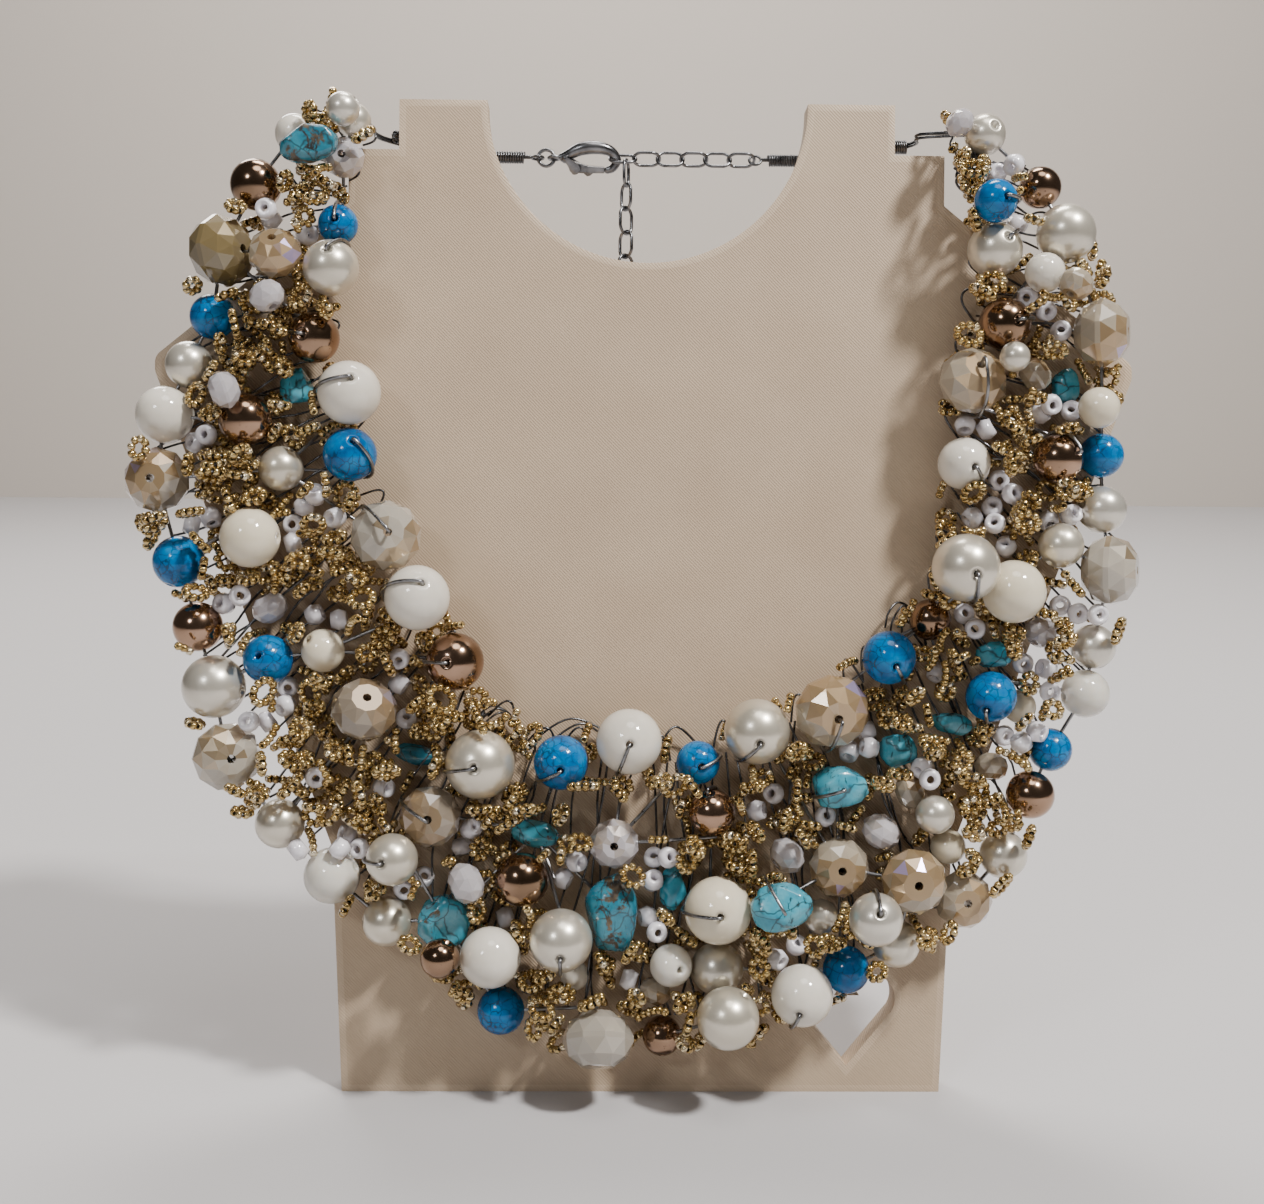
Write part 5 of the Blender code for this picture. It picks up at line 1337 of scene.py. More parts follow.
face_px, face_away = shown_px([centre for centre, _ in faces_seen])
face_radius_px = np.array([radius for _, radius in faces_seen]) * VIEW_FOCAL_PX / face_away * FACE_SHARE
outward = OUTER - INNER
outward = outward / np.linalg.norm(outward, axis=1)[:, None]


def hides_a_bead(places, away):
    """Whether one of the seeds would lie before the face of a bead that the photo shows."""
    apart = np.linalg.norm(places[:, None, :] - face_px[None, :, :], axis=2)
    return bool(((apart < face_radius_px[None, :]) & (away[:, None] < face_away[None, :])).any())


def fills_a_gap(places):
    """Whether one of the seeds would show in a gap that the photo leaves open."""
    apart = np.linalg.norm(places[:, None, :] - OPEN_SPOTS_PX[None, :, :2], axis=2)
    return bool((apart < OPEN_SPOTS_PX[None, :, 2]).any())


def leaves_the_band(places):
    """Whether one of the seeds would show beyond an edge of the band."""
    for edge, side in ((OUTER, 1), (INNER, -1)):
        apart = np.linalg.norm(places[:, None, :] - edge[None, :, :], axis=2)
        nearest = apart.argmin(1)
        beyond = ((places - edge[nearest]) * outward[nearest]).sum(1) * side
        if (beyond > EDGE_SLACK_PX).any():
            return True
    return False


class SeedGrid:
    """Seeds by grid cell, so that a new one is only tested against its near neighbours."""

    def __init__(self):
        self.cells = {}

    def keys(self, point):
        base = np.floor(point / SEED_CELL).astype(int)
        return [(base[0] + i, base[1] + j, base[2] + k)
                for i in (-1, 0, 1) for j in (-1, 0, 1) for k in (-1, 0, 1)]

    def clear(self, point, distance):
        for key in self.keys(point):
            for other in self.cells.get(key, ()):
                if abs(other - point).max() < distance and np.linalg.norm(other - point) < distance:
                    return False
        return True

    def add(self, point):
        key = tuple(np.floor(point / SEED_CELL).astype(int))
        self.cells.setdefault(key, []).append(point)


def loop_points(centre, turn, count):
    """Middles and directions of the seeds of a closed loop, a little drawn out."""
    radius = count * GOLD_PITCH / math.tau
    points = []
    ways = []
    for i in range(count):
        angle = math.tau * i / count
        flat = Vector((radius * LONG_WAY * math.cos(angle), radius * SHORT_WAY * math.sin(angle), 0))
        ahead = Vector((-LONG_WAY * math.sin(angle), SHORT_WAY * math.cos(angle), 0)).normalized()
        points.append(np.array(turn @ flat) + centre)
        ways.append(turn @ ahead)
    return np.array(points), ways


def string_points(start, way, bend, count):
    """Middles and directions of the seeds of an open string that curves towards bend."""
    points = []
    ways = []
    place = Vector(start)
    ahead = Vector(way)
    for _ in range(count):
        points.append(np.array(place))
        ways.append(ahead.copy())
        ahead = (ahead + bend * STRING_BEND).normalized()
        place = place + ahead * GOLD_PITCH
    return np.array(points), ways


grid = SeedGrid()
gold_seeds = []
gold_wires = []
chance = random.Random(23)


def try_seeds(points, ways, closed):
    """Keeps a loop or string where it is clear of all that lies there; says whether it was kept."""
    if points[:, 1].max() > BOARD_FACE - GOLD_RADIUS:
        return False
    if not crowd.balls_clear(points, GOLD_RADIUS * BEAD_NEARNESS):
        return False
    if not all(grid.clear(point, GOLD_RADIUS * SEED_NEARNESS) for point in points):
        return False
    places, away = shown_px(points)
    if hides_a_bead(places, away) or leaves_the_band(places) or fills_a_gap(places):
        return False
    for point, way in zip(points, ways):
        grid.add(point)
        gold_seeds.append((point, way))
    gold_wires.append((points, closed))
    return True


def drawn_way(chance):
    """A direction drawn evenly from all directions."""
    return Vector((chance.gauss(0, 1), chance.gauss(0, 1), chance.gauss(0, 1))).normalized()


def drawn_turn(chance):
    way = drawn_way(chance)
    return way.to_track_quat("Z", "Y").to_matrix() @ Matrix.Rotation(chance.uniform(0, FULL_SPIN), 3, "Z")


loops = 0
for _ in range(LOOP_TRIES):
    if len(gold_seeds) > MAX_GOLD * LOOP_SHARE:
        break
    across = NEAR_INNER + NEAR_OUTER * chance.random() ** OUTWARDS
    centre = band_place(chance.random(), across, chance.uniform(*LOOP_LIFTS))
    points, ways = loop_points(centre, drawn_turn(chance), chance.choice(LOOP_COUNTS))
    loops += try_seeds(points, ways, True)
strings = 0
for _ in range(STRING_TRIES):
    if len(gold_seeds) > MAX_GOLD:
        break
    start = band_place(chance.random(), chance.uniform(NEAR_INNER, NEAR_OUTER),
                       chance.uniform(*STRING_LIFTS))
    turn = drawn_turn(chance)
    points, ways = string_points(start, turn.col[0], turn.col[1], chance.choice(STRING_COUNTS))
    strings += try_seeds(points, ways, False)
print("gold seeds:", len(gold_seeds), "in", loops, "loops and", strings, "strings")

quarters = {}
for point, way in gold_seeds:
    turn = way.to_track_quat("Z", "Y").to_matrix().to_4x4()
    quarter = ("upper_" if point[2] > SEED_SPLIT else "lower_") + ("left" if is_left(point) else "right")
    quarters.setdefault(quarter, Gathering()).add(GOLD_SEED, LEAN @ Matrix.Translation(point) @ turn,
                                                  chance.random())
for quarter, group in quarters.items():
    group.build("gold_seeds_" + quarter, "gold_seed", "bead_field")

# %% [markdown]
# ## Bare wire
#
# The net is crocheted from gunmetal wire about half a millimetre thick. It shows as strands
# that cross the band behind the beads, as small arcs along the inner rim, and as loops that
# come out of a bead's hole and bend round it into the net. All of it is one curve object
# for each kind, because a curve with a round bevel is just what a wire is.

# %% Wire helpers
WIRE_RADIUS = 0.00022
BEAD_WIRE_RADIUS = 0.00032
FINE_BEVEL = 3


def smooth_path(points, steps):
    """A Catmull-Rom curve through the given points."""
    knots = [np.array(point, float) for point in points]
    knots = [2 * knots[0] - knots[1]] + knots + [2 * knots[-1] - knots[-2]]
    path = []
    for before, a, b, after in zip(knots, knots[1:], knots[2:], knots[3:]):
        for i in range(steps):
            t = i / steps
            path.append(0.5 * (2 * a + (b - before) * t + (2 * before - 5 * a + 4 * b - after) * t ** 2
                               + (3 * a - before - 3 * b + after) * t ** 3))
    path.append(knots[-2])
    return path


def round_curve(name, radius, resolution):
    """An empty curve that draws round wire with closed ends."""
    curve = bpy.data.curves.new(name, "CURVE")
    curve.dimensions = "3D"
    curve.bevel_depth = radius
    curve.bevel_resolution = resolution
    curve.use_fill_caps = True
    return curve


def add_strand(curve, path, closed):
    """One more strand of a curve, straight from point to point."""
    strand = curve.splines.new("POLY")
    strand.points.add(len(path) - 1)
    for point, place in zip(strand.points, path):
        point.co = (*place, 1)
    strand.use_cyclic_u = closed
    return strand


class Wires:
    """Strands of one thickness, as one curve object; their paths are in the board's frame."""

    def __init__(self, name, radius, resolution=1):
        self.name = name
        self.curve = round_curve(name, radius, resolution)

    def add(self, path, closed=False):
        add_strand(self.curve, [LEAN @ Vector(place) for place in path], closed)

    def build(self, finish, nodes=()):
        finish_piece(self.name, self.curve, finish, nodes)


# %% Wires through seeds, across the band and along the rim
ACROSS_WIRES = 130
# How far a strand starts from its even place, leans and wanders along the band, as shares
START_SCATTER, SLANT_MOST, WANDER = 0.8, 0.02, 0.004
ACROSS_SHARES = (0.10, 0.25, 0.45, 0.6, 0.75, 0.88)
ACROSS_LIFTS = (0.0006, 0.0045)
RIM_ARCS = 34
# Of a rim arc: its scatter, its latest start, its span, its height, its lift and its foot
ARC_SCATTER, ARC_LATEST = 0.4, 0.985
ARC_SPANS, ARC_HEIGHTS, ARC_LIFTS = (0.010, 0.022), (-0.01, 0.05), (0.0008, 0.0040)
ARC_FOOT, ARC_RISE = 0.10, 0.0015
# Points of an arc as shares of its span and of its height
ARC_POINTS = ((0, 0), (0.25, 0.75), (0.5, 1.0), (0.75, 0.75), (1.0, 0))
# Wire loops that stand clear above the rim: left end, top and right end in pixels
LOOP_LEG_PX = (3, 14)
LOOP_LIFT, LOOP_WAVE = 0.0025, 0.0010
RIM_LOOPS = [
    (538, 738, 571, 719, 607, 733), (548, 745, 580, 724, 604, 738), (662, 742, 676, 727, 696, 744),
    (477, 718, 494, 706, 514, 719), (479, 723, 498, 709, 517, 724), (481, 728, 501, 713, 519, 729),
    (484, 733, 504, 717, 522, 735), (888, 614, 897, 603, 909, 608), (893, 620, 903, 606, 913, 616),
]
strands = Wires("net_strands", WIRE_RADIUS)
for points, closed in gold_wires:
    strands.add(points, closed)
chance = random.Random(37)
for i in range(ACROSS_WIRES):
    along = (i + chance.uniform(-START_SCATTER, START_SCATTER)) / ACROSS_WIRES
    along = min(max(along, 0.0), 1.0)
    slant = chance.uniform(-SLANT_MOST, SLANT_MOST)
    path = []
    for across in ACROSS_SHARES:
        place = min(max(along + slant * across + chance.uniform(-WANDER, WANDER), 0), 1)
        path.append(band_place(place, across, chance.uniform(*ACROSS_LIFTS)))
    strands.add(smooth_path(path, 4))
for i in range(RIM_ARCS):
    along = (i + chance.uniform(-ARC_SCATTER, ARC_SCATTER)) / RIM_ARCS
    along = min(max(along, 0.0), ARC_LATEST)
    span = chance.uniform(*ARC_SPANS)
    height = chance.uniform(*ARC_HEIGHTS)
    low = chance.uniform(*ARC_LIFTS)
    strands.add(smooth_path([band_place(min(along + span * share, 1.0), height * bow + ARC_FOOT * (1 - bow),
                                        low + ARC_RISE * bow) for share, bow in ARC_POINTS], 4))
leg_x, leg_y = LOOP_LEG_PX
for x_a, y_a, x_b, y_b, x_c, y_c in RIM_LOOPS:
    knots = [(x_a - leg_x, y_a + leg_y), (x_a, y_a), (x_b, y_b), (x_c, y_c), (x_c + leg_x, y_c + leg_y)]
    strands.add(smooth_path([place_px(x, y, LOOP_LIFT + LOOP_WAVE * math.sin(i * 1.6))
                             for i, (x, y) in enumerate(knots)], 6))
strands.build("wire")
print("strands:", len(strands.curve.splines))

# %% Wire out of a hole and round the bead
# From the hole's mouth round the bead: how deep in the hole it starts, and the angles it passes
INSIDE_SHARE, MOUTH_GAP = 0.75, 0.0002
ROUND_ANGLES = (22, 45, 68, 90, 112, 135)


def wire_round(centre, radius, hole, clock):
    """Out of the hole's mouth, round the bead towards a clock direction, and in behind it."""
    side = np.array([math.cos(math.radians(clock)), 0.0, math.sin(math.radians(clock))])
    clear = radius + BEAD_WIRE_RADIUS * 1.1
    across = side - hole * (side @ hole)
    across = across / np.linalg.norm(across)
    path = [centre + hole * radius * INSIDE_SHARE, centre + hole * (clear + MOUTH_GAP)]
    for angle in ROUND_ANGLES:
        turned = math.radians(angle)
        path.append(centre + (hole * math.cos(turned) + across * math.sin(turned)) * clear)
    return smooth_path(path, 3)


# These wires wear the lighter copy of the gunmetal, which is painted light
bead_wires = Wires("bead_wires", BEAD_WIRE_RADIUS)
for bead, (centre, start, behind) in main_places.items():
    bead_wires.add([start, behind])
    if bead.wire is not None:
        bead_wires.add(wire_round(centre, bead_semi_axes(bead)[0], bead_turn(bead)[:, 2], bead.wire))
for start, end in net_wires:
    bead_wires.add([start, end])
bead_wires.build("bead_wire", ["bead_net_left", "bead_net_right"])
print("bead wires:", len(bead_wires.curve.splines))

# %% [markdown]
# ## Coils, rings, chain and clasp
#
# At each end the net's wires are drawn together over the ledge and behind the post, and a
# thin wire is wound round them, turn against turn, so that no end scratches the neck. The
# left end carries the jump ring and the lobster clasp, which is cast in one piece with its
# eye and has a sprung lever on a pin. The right end carries the extender chain, whose
# links are closed ovals, each turned about a quarter turn from the last.

# %% Metalwork places
CHAIN_Y = BOARD_THICKNESS / 2 + 0.0030
CHAIN_Z = BOARD_HEIGHT - 0.0078
END_WIRE_RADIUS = 0.00035
EYE_RADIUS = 0.0011
LEFT_EYE_X, RING_X, CLASP_X = -0.020125, -0.018525, -0.017025
HOOKED_X, RIGHT_EYE_X = -0.004375, 0.020125
LINK_WIRE_RADIUS = 0.0003
LINK_MEAN, LINK_STRAIGHT = 0.00165, 0.0016
LINK_HALF_LENGTH = LINK_MEAN + LINK_STRAIGHT / 2
LINK_PITCH = 0.00438
RUN_TILTS = (-52, 60, -30, 60, -30, 60)
TAIL_TURNS = (75, -60, 50, -50, 40)
TAIL_SHIFT, TAIL_SLACK = 0.00064, 0.00008
RING_RADIUS, RING_WIRE_RADIUS = 0.0015, 0.00035
COIL_START, COIL_LENGTH, COIL_TURNS, COIL_STEPS = 0.0024, 0.0068, 15, 14
COIL_WIRE_RADIUS = 0.00025
COIL_RADIUS = END_WIRE_RADIUS + GAP + COIL_WIRE_RADIUS


def turned(path, matrix):
    """The path's points after a turn and a move."""
    return [matrix @ Vector(point) for point in path]


def oval(radius, straight, steps=10):
    """A closed ring about z, drawn out along x by a straight."""
    path = []
    for i in range(2 * steps):
        angle = math.tau * (i + 0.5) / (2 * steps)
        shift = straight / 2 * (1 if math.cos(angle) > 0 else -1)
        path.append((radius * math.cos(angle) + shift, radius * math.sin(angle), 0))
    return path


def rotation(degrees, axis):
    return Matrix.Rotation(math.radians(degrees), 4, axis)


def at(x, y, z):
    return Matrix.Translation((x, y, z))


# %% End wires over the ledges
LEDGE_X = 0.049
LEDGE_BACK_X, HALFWAY_X = LEDGE_X - 0.00225, 0.04005
LEDGE_DROP, OVER_LEDGE = 0.009, 0.003
OVER_Z = BOARD_HEIGHT - LEDGE_DROP + OVER_LEDGE
CLEAR_Y = BOARD_THICKNESS / 2 + END_WIRE_RADIUS + GAP
END_STRAND_RADIUS = 0.00026
# Three wires run side by side over a ledge: how far each lies back and up
SPREADS = ((0.0, 0.0), (0.0004, 0.0005), (-0.0004, 0.0006))
IN_COIL = 0.4
KNOT_X, KNOT_RISE, KNOT_RADIUS, KNOT_TURNS = -0.0455, 0.0010, 0.0011, 26
BALL_PX, BALL_LIFT, BALL_RADIUS, BALL_TURNS = (968, 166), 0.0032, 0.0024, 70
STUB_START, STUB_LENGTH, STUB_TURNS, STUB_STEPS = 0.0453, 0.0024, 6, 12
STUB_RADIUS, STUB_WIRE_RADIUS, STUB_SHIFT = 0.0011, 0.0002, 0.0002


def end_path(side, anchor, spread):
    """From the band over the ledge, behind the post and through the coil to the wire eye."""
    dy, dz = spread
    near_y, near_z = CHAIN_Y + IN_COIL * dy, CHAIN_Z + IN_COIL * dz
    return [
        tuple(Vector(anchor) + Vector((0, dy, dz))),
        (side * LEDGE_X, -CLEAR_Y - abs(dy), OVER_Z + dz),
        (side * LEDGE_X, 0, OVER_Z + dz),
        (side * LEDGE_BACK_X, CLEAR_Y + abs(dy), OVER_Z + dz),
        (side * HALFWAY_X, CHAIN_Y + dy, (OVER_Z + CHAIN_Z) / 2 + dz),
        (side * (RIGHT_EYE_X + COIL_START + COIL_LENGTH + 0.001), near_y, near_z),
        (side * (RIGHT_EYE_X + COIL_START), near_y, near_z),
        (side * (RIGHT_EYE_X + EYE_RADIUS), CHAIN_Y, CHAIN_Z),
    ]


def knot(wires, centre, radius, turns, chance):
    """Wire wound into a small ball."""
    wires.add(smooth_path([np.array(centre) + np.array(drawn_way(chance)) * radius for _ in range(turns)], 4))


def helix(side, start, length, turns, steps, radius, y, z):
    """Wire wound round a line along x, from its start away from the middle."""
    path = []
    for i in range(turns * steps + 1):
        angle = math.tau * i / steps
        along = start + length * i / (turns * steps)
        path.append((side * along, y + radius * math.cos(angle), z + radius * math.sin(angle)))
    return path


chance = random.Random(61)
ends = Wires("end_wires", END_STRAND_RADIUS)
top_beads = {}
for centre in net_centres:
    side = -1 if is_left(centre) else 1
    if side not in top_beads or centre[2] > top_beads[side][2]:
        top_beads[side] = centre
for side, centre in top_beads.items():
    for spread in SPREADS:
        ends.add(smooth_path(end_path(side, centre, spread), 6))
ends.add(turned(oval(EYE_RADIUS, 0), at(LEFT_EYE_X, CHAIN_Y, CHAIN_Z)), True)
ends.add(turned(oval(EYE_RADIUS, 0), at(RIGHT_EYE_X, CHAIN_Y, CHAIN_Z) @ rotation(60, "X")), True)
knot(ends, (KNOT_X, CLEAR_Y, OVER_Z + KNOT_RISE), KNOT_RADIUS, KNOT_TURNS, chance)
knot(ends, place_px(*BALL_PX, BALL_LIFT), BALL_RADIUS, BALL_TURNS, chance)
ends.build("wire", ["bead_net_left", "bead_net_right"])

for side, name in ((-1, "coil_left"), (1, "coil_right")):
    coil = Wires("wound_" + name, COIL_WIRE_RADIUS)
    coil.add(helix(side, RIGHT_EYE_X + COIL_START, COIL_LENGTH, COIL_TURNS, COIL_STEPS, COIL_RADIUS,
                   CHAIN_Y, CHAIN_Z))
    coil.build("wire", [name])
stub = Wires("ledge_coil", STUB_WIRE_RADIUS)
stub.add(helix(1, STUB_START, STUB_LENGTH, STUB_TURNS, STUB_STEPS, STUB_RADIUS,
               CLEAR_Y - STUB_SHIFT, OVER_Z + STUB_SHIFT))
stub.build("wire")
print("end wires:", len(ends.curve.splines))

# %% Jump ring and chain
ring = Wires("round_jump_ring", RING_WIRE_RADIUS, FINE_BEVEL)
ring.add(turned(oval(RING_RADIUS, 0, 14), at(RING_X, CHAIN_Y, CHAIN_Z) @ rotation(90, "X")), True)
ring.build("clasp", ["jump_ring"])

chain = Wires("chain_links", LINK_WIRE_RADIUS, FINE_BEVEL)
for i, tilt in enumerate(RUN_TILTS):
    place = at(HOOKED_X + i * LINK_PITCH, CHAIN_Y, CHAIN_Z) @ rotation(90 + tilt, "X")
    chain.add(turned(oval(LINK_MEAN, LINK_STRAIGHT), place), True)
hooked = math.radians(RUN_TILTS[0])
tail_y = CHAIN_Y + math.sin(hooked) * LINK_MEAN
tail_z = CHAIN_Z - math.cos(hooked) * LINK_MEAN
for i, turn in enumerate(TAIL_TURNS):
    drop = LINK_HALF_LENGTH - 2 * LINK_WIRE_RADIUS + TAIL_SLACK + i * LINK_PITCH
    place = (at(HOOKED_X + TAIL_SHIFT, tail_y, tail_z - drop) @ rotation(turn, "Z") @ rotation(90, "Y")
             @ rotation(90, "X"))
    chain.add(turned(oval(LINK_MEAN, LINK_STRAIGHT), place), True)
chain.build("clasp", ["extender_chain"])
print("links:", len(chain.curve.splines))

# %% [markdown]
# ### The clasp
#
# The body is a bent rod that swells over its back and ends in a round nose. Two cheeks
# hold the lever's pin. The lever is stamped, so it is a plate with slightly broken edges.

# %% Clasp shapes
CLASP_LENGTH, CLASP_HEIGHT, CLASP_ROD = 0.0124, 0.0056, 0.0008
CLASP_PLACE = LEAN @ at(CLASP_X, CHAIN_Y, CHAIN_Z) @ rotation(30, "X")
HOOK_ROUTE = ((0.20, 0.25, 1.15), (0.42, 0.85, 1.50), (0.66, 1.0, 1.50), (0.88, 0.72, 1.25),
              (1.0, -0.10, 1.0), (0.93, -0.85, 0.95), (0.85, -1.05, 0.85))
PIVOT = Vector((0.30 * CLASP_LENGTH, 0, -0.30 * CLASP_HEIGHT))
LEVER_THICKNESS, CHEEK_THICKNESS = 0.0009, 0.0005
KNUCKLE, PIN = 0.00105, 0.00035
CLASP_INNER = LEVER_THICKNESS / 2 + GAP
CLASP_EYE_RADIUS, CLASP_EYE_WIRE = 0.0010, 0.00035
NECK_X, NECK_SIZE = 0.00208, (0.00096, 0.00125, 0.00096, 1)
NOSE_SHARE = 0.86
BALL_SIDES, BALL_RINGS = 16, 10
CHEEK_ROUNDING, LEVER_ROUNDING = 0.00010, 0.00012
EDGE_ANGLE = 0.9
CURVE_WELD = 0.000002
SHARP_METAL, SHARP_PRINT = 40, 35


def mesh_of(data):
    """The mesh that a curve draws, as a bmesh."""
    holder = bpy.data.objects.new("holder", data)
    mesh = bpy.data.meshes.new_from_object(holder)
    bpy.data.objects.remove(holder)
    bpy.data.curves.remove(data)
    bm = bmesh.new()
    bm.from_mesh(mesh)
    bpy.data.meshes.remove(mesh)
    bmesh.ops.remove_doubles(bm, verts=bm.verts, dist=CURVE_WELD)
    bmesh.ops.recalc_face_normals(bm, faces=bm.faces)
    return bm


def rod(path, radius, swells=(), closed=False):
    """A round rod along a path, thicker or thinner by a share at each point."""
    data = round_curve("rod", radius, FINE_BEVEL)
    strand = add_strand(data, path, closed)
    for point, swell in zip(strand.points, swells):
        point.radius = swell
    return mesh_of(data)


def plate(outlines, thickness):
    """A flat plate with z through its thickness."""
    data = bpy.data.curves.new("plate", "CURVE")
    data.dimensions = "2D"
    data.fill_mode = "BOTH"
    data.extrude = thickness / 2
    for outline in outlines:
        add_strand(data, [(x, y, 0) for x, y in outline], True)
    return mesh_of(data)


def break_edges(bm, width):
    """Rounds the edges that stand at an angle, and returns the new faces."""
    rims = [edge for edge in bm.edges if len(edge.link_faces) == 2 and edge.calc_face_angle() > EDGE_ANGLE]
    made = bmesh.ops.bevel(bm, geom=rims, offset=width, segments=2, affect="EDGES", profile=0.5,
                           material=-1, clamp_overlap=True)
    return made["faces"]


def arc(centre, radius, start, end, steps):
    """Points of an arc in a plane, angles in degrees."""
    return [(centre[0] + radius * math.cos(math.radians(start + (end - start) * i / steps)),
             centre[1] + radius * math.sin(math.radians(start + (end - start) * i / steps)))
            for i in range(steps + 1)]


def mesh_from(bm, name):
    """A new mesh with all that is in a bmesh, which is then freed."""
    mesh = bpy.data.meshes.new(name)
    bm.to_mesh(mesh)
    bm.free()
    return mesh


def join_meshes(parts):
    """One mesh of several bmeshes, each with its place."""
    whole = bmesh.new()
    for bm, place in parts:
        bmesh.ops.transform(bm, matrix=place, verts=bm.verts)
        mesh = mesh_from(bm, "part")
        whole.from_mesh(mesh)
        bpy.data.meshes.remove(mesh)
    return whole


def mesh_piece(name, bm, finish, node, sharp, body=BODY):
    """A smooth piece that keeps its edges crisp where they are sharper than so many degrees."""
    mesh = mesh_from(bm, name)
    mesh.polygons.foreach_set("use_smooth", [True] * len(mesh.polygons))
    mesh.set_sharp_from_angle(angle=math.radians(sharp))
    finish_piece(name, mesh, finish, [node], body)


def ball(place, radius=1.0):
    """A sphere at a place, as a bmesh."""
    bm = bmesh.new()
    bmesh.ops.create_uvsphere(bm, u_segments=BALL_SIDES, v_segments=BALL_RINGS, radius=radius, matrix=place)
    return bm


# %% Cast clasp body
length = CLASP_LENGTH - CLASP_ROD
high = CLASP_HEIGHT / 2 - CLASP_ROD
route = [(0.0010, 0, 0, 0.9)] + [(length * x, 0, high * z, swell) for x, z, swell in HOOK_ROUTE]
route = smooth_path(route, 6)
hook = rod([tuple(point[:3]) for point in route], CLASP_ROD, [float(point[3]) for point in route])
tip = Vector(tuple(route[-1][:3]))
nose = ball(Matrix.Translation(tip), CLASP_ROD * NOSE_SHARE)
clasp_eye = rod(oval(CLASP_EYE_RADIUS, 0, 12), CLASP_EYE_WIRE, closed=True)
neck = ball(at(NECK_X, 0, 0) @ Matrix.Diagonal(NECK_SIZE))
parts = [(hook, Matrix()), (nose, Matrix()), (clasp_eye, rotation(-30, "X")), (neck, Matrix())]
for side in (-1, 1):
    outline = arc((PIVOT.x, PIVOT.z), KNUCKLE, -110, 70, 14)
    outline += [(0.17 * CLASP_LENGTH, 0.9 * CLASP_ROD), (0.17 * CLASP_LENGTH, -0.7 * CLASP_ROD)]
    cheek = plate([outline], CHEEK_THICKNESS)
    break_edges(cheek, CHEEK_ROUNDING)
    parts.append((cheek, at(0, side * (CLASP_INNER + CHEEK_THICKNESS / 2), 0) @ rotation(90, "X")))
pin = bmesh.new()
bmesh.ops.create_cone(pin, cap_ends=True, segments=12, radius1=PIN, radius2=PIN,
                      depth=2 * CLASP_INNER + CHEEK_THICKNESS)
parts.append((pin, Matrix.Translation(PIVOT) @ rotation(90, "X")))
clasp = join_meshes([(bm, CLASP_PLACE @ place) for bm, place in parts])
mesh_piece("cast_clasp", clasp, "clasp", "clasp_body", SHARP_METAL)
print("clasp body made of", len(parts), "parts")

# %% Stamped lever
reach = tip.x - CLASP_ROD * 0.4 - GAP - PIVOT.x
fall = tip.z - PIVOT.z
outline = arc((0, 0), KNUCKLE, 75, 300, 14)
outline += [(reach * 0.30, -0.95 * KNUCKLE), (reach * 0.42, -1.45 * KNUCKLE),
            (reach * 0.52, -1.35 * KNUCKLE), (reach * 0.62, fall - KNUCKLE / 2),
            (reach, fall - KNUCKLE / 2), (reach, fall + KNUCKLE / 2),
            (reach * 0.45, KNUCKLE * 0.45 + fall * 0.3)]
lever = plate([outline, arc((0, 0), PIN + GAP, 0, 337.5, 15)], LEVER_THICKNESS)
break_edges(lever, LEVER_ROUNDING)
bmesh.ops.transform(lever, matrix=CLASP_PLACE @ Matrix.Translation(PIVOT) @ rotation(90, "X"),
                    verts=lever.verts)
mesh_piece("stamped_lever", lever, "clasp", "clasp_lever", SHARP_METAL, LEVER_BODY)
print("lever reaches", round(reach / MM, 2), "mm from its pin")

# %% [markdown]
# ## Printed board and strut
#
# The stand is printed flat in filament. Its outer walls run round the outline as a smooth
# pale band, and the top layer inside them is laid in lines on the slant. The same two looks
# are kept here: a band inset from the rim carries its own tone, and the finish lays the
# slanting lines only inside it. The rounded edges get a paler tone still, which is a
# painted highlight.

# %% Board outline
POST_HALF_SPAN, NOTCH_RADIUS = 0.0445, 0.0288
LEDGE_HALF_SPAN = 0.0535
SHOULDER_START_DROP, SHOULDER_DROP = 0.018, 0.045
SHOULDER_HALF_SPAN, SHOULDER_EDGE, ROUNDING = 0.0878, 0.006, 0.0025
WAIST_DROP, WAIST_HALF_SPAN, BASE_HALF_SPAN = 0.134, 0.0558, 0.0536
HEART_WIDTH, HEART_OFFSET, HEART_HEIGHT = 0.0172, 0.0370, 0.0122
# A lobe's radius and the depth of the heart's tip, as shares of its width
LOBE_SHARE, TIP_SHARE = 0.26, 0.46
RIM_WIDTH, RIM_ROUNDING = 0.0012, 0.00035
# The rim band's tone, and the tone of the rounded edges, which is a painted highlight
RIM_TONE, EDGE_HIGHLIGHT_TONE = 0.45, 1.0


def board_outlines():
    """The board's outline from below the foot, and its heart."""
    top = BOARD_HEIGHT
    low, high = top - SHOULDER_DROP - SHOULDER_EDGE, top - SHOULDER_DROP
    right = [(BASE_HALF_SPAN, -BOARD_THICKNESS), (WAIST_HALF_SPAN, top - WAIST_DROP)]
    right += arc((SHOULDER_HALF_SPAN - ROUNDING, low + ROUNDING), ROUNDING, -20, 0, 4)
    right += arc((SHOULDER_HALF_SPAN - ROUNDING, high - ROUNDING), ROUNDING, 0, 50, 8)
    right += [(LEDGE_HALF_SPAN, top - SHOULDER_START_DROP), (LEDGE_HALF_SPAN, top - LEDGE_DROP),
              (POST_HALF_SPAN, top - LEDGE_DROP), (POST_HALF_SPAN, top)]
    right += arc((0, top), NOTCH_RADIUS, 0, -90, 36)
    outline = right + [(-x, z) for x, z in reversed(right[:-1])]
    lobe = [(x, z) for x, z in arc((HEART_WIDTH / 4, HEART_WIDTH / 4), HEART_WIDTH * LOBE_SHARE, 180, -30, 18)
            if x >= 0]
    half = lobe + [(0, -HEART_WIDTH * TIP_SHARE)]
    heart = half + [(-x, z) for x, z in reversed(half[:-1]) if x > 0.00001]
    return outline, [(x + HEART_OFFSET, z + HEART_HEIGHT) for x, z in heart]


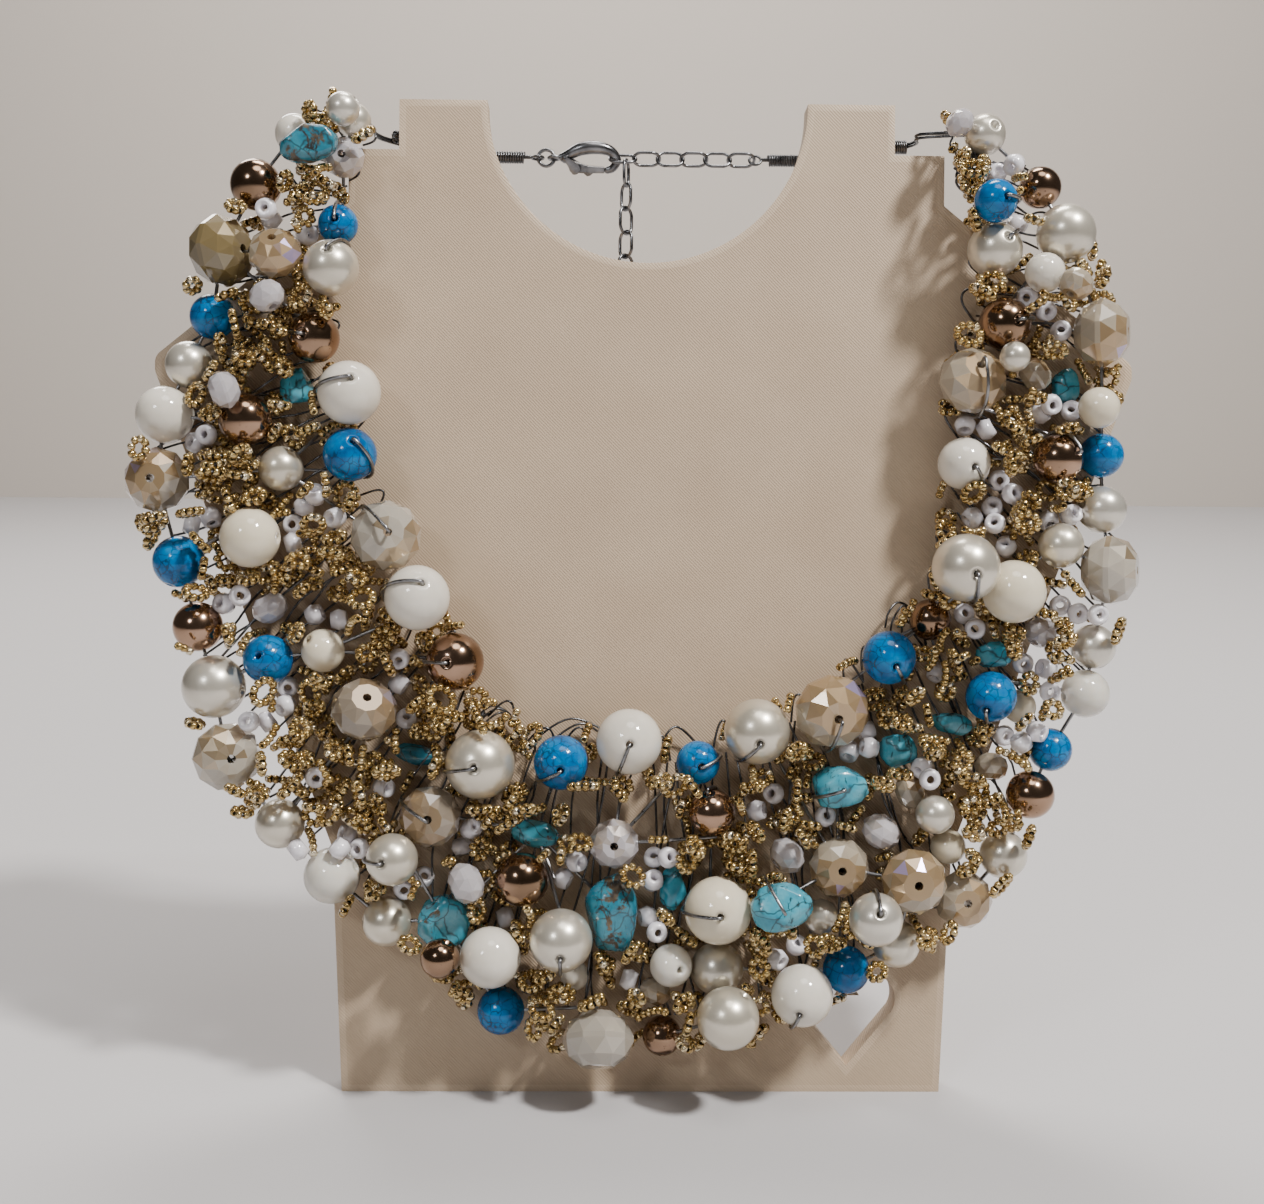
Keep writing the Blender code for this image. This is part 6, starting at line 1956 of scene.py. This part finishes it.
def mark_rims(bm, front):
    """Insets front and back by the rim's width, rounds the edges, and gives both their tones; the rounded
    edges get a painted highlight.
    """
    tone = bm.faces.layers.float.new("rim_and_edge_highlight_tone")
    for way in (front, -front):
        faces = [face for face in bm.faces if face.normal.dot(way) > 0.99]
        band = bmesh.ops.inset_region(bm, faces=faces, thickness=RIM_WIDTH, use_even_offset=True)["faces"]
        for face in band:
            face[tone] = RIM_TONE
    for face in break_edges(bm, RIM_ROUNDING):
        face[tone] = EDGE_HIGHLIGHT_TONE


board = plate(board_outlines(), BOARD_THICKNESS)
bmesh.ops.transform(board, matrix=LEAN @ rotation(90, "X"), verts=board.verts)
bmesh.ops.bisect_plane(board, geom=board.verts[:] + board.edges[:] + board.faces[:], plane_co=(0, 0, 0),
                       plane_no=(0, 0, -1), clear_outer=True)
bmesh.ops.holes_fill(board, edges=[edge for edge in board.edges if edge.is_boundary])
bmesh.ops.recalc_face_normals(board, faces=board.faces)
mark_rims(board, LEAN.to_3x3() @ Vector((0, -1, 0)))
mesh_piece("printed_board", board, "stand", "display_board", SHARP_PRINT)

# %% Strut
STRUT_THICKNESS, STRUT_HEIGHT, STRUT_REACH = 0.006, 0.095, 0.058
STRUT_TOE, STRUT_TOP_WIDTH = 0.004, 0.004


def back_face_y(height):
    """Where the strut's front lies at a height, a gap behind the leaning board."""
    return (BOARD_THICKNESS / 2 + GAP) / math.cos(BOARD_LEAN) + height * math.tan(BOARD_LEAN)


strut = plate([[(back_face_y(0), 0), (STRUT_REACH, 0), (STRUT_REACH, STRUT_TOE),
                (back_face_y(STRUT_HEIGHT) + STRUT_TOP_WIDTH, STRUT_HEIGHT),
                (back_face_y(STRUT_HEIGHT), STRUT_HEIGHT)]], STRUT_THICKNESS)
bmesh.ops.transform(strut, matrix=rotation(90, "Z") @ rotation(90, "X"), verts=strut.verts)
mark_rims(strut, Vector((1, 0, 0)))
mesh_piece("printed_strut", strut, "stand", "rear_strut", SHARP_PRINT)
print("board and strut made")

# %% [markdown]
# ## Floor and light
#
# A plain pale table runs under the stand and a pale wall stands far behind it. The room is
# dim and warm. One broad soft lamp hangs above, a small one stands high on the right and a
# faint one low on the left, so that the plated rounds mirror a dark room, a pale floor and a
# few small lights. The last two light the back of the stand and the wall.

# %% Floor, wall, room and lamps
FLOOR_SIZE, WALL_SIZE, WALL_PLACE = 3.0, 1.6, 1.3
TARGET = (0.0, 0.0, 0.09)
WALL_TARGET = (0.0, WALL_PLACE, 0.25)
# Name, place, what it points at, width in metres, power in watts and colour
LAMPS = [
    ("ceiling", (0.10, -0.30, 1.2), TARGET, 0.5, 3.2, (1.0, 0.97, 0.93)),
    ("key", (0.52, -0.42, 1.0), TARGET, 0.13, 19.0, (1.0, 0.98, 0.95)),
    ("window", (-0.45, -0.70, 0.60), TARGET, 0.16, 1.6, (0.95, 0.97, 1.0)),
    ("behind", (-0.35, 0.80, 0.75), TARGET, 0.40, 3.0, (1.0, 0.98, 0.95)),
    ("wall_wash", (0.0, 0.55, 1.3), WALL_TARGET, 0.60, 20.0, (1.0, 0.97, 0.93)),
]


def make_backdrop(name, size, place, colour, roughness):
    """A large plain face that belongs to the stage; its size is half its width."""
    bm = bmesh.new()
    bmesh.ops.create_grid(bm, x_segments=1, y_segments=1, size=size, matrix=place)
    mesh = mesh_from(bm, name)
    mesh.materials.append(Finish("pale_" + name, colour, roughness).material)
    link_object(name, mesh)


def make_room():
    """A dim and warm world round the stage."""
    world = bpy.data.worlds.new("room")
    world.use_nodes = True
    background = world.node_tree.nodes["Background"]
    background.inputs["Color"].default_value = (0.30, 0.275, 0.25, 1)
    background.inputs["Strength"].default_value = 0.24
    bpy.context.scene.world = world


def make_lamp(name, place, target, size, power, colour):
    """A round soft lamp that points at its target."""
    data = bpy.data.lights.new(name, "AREA")
    data.shape = "DISK"
    data.size = size
    data.energy = power
    data.color = colour
    lamp = link_object(name, data)
    lamp.location = place
    way = Vector(target) - Vector(place)
    lamp.rotation_euler = way.to_track_quat("-Z", "Y").to_euler()


make_backdrop("floor", FLOOR_SIZE, Matrix(), (0.50, 0.485, 0.49), 0.8)
make_backdrop("wall", WALL_SIZE, at(0, WALL_PLACE, WALL_SIZE) @ rotation(90, "X"), (0.56, 0.51, 0.46), 0.9)
make_room()
for lamp in LAMPS:
    make_lamp(*lamp)
print("lamps:", len(LAMPS))
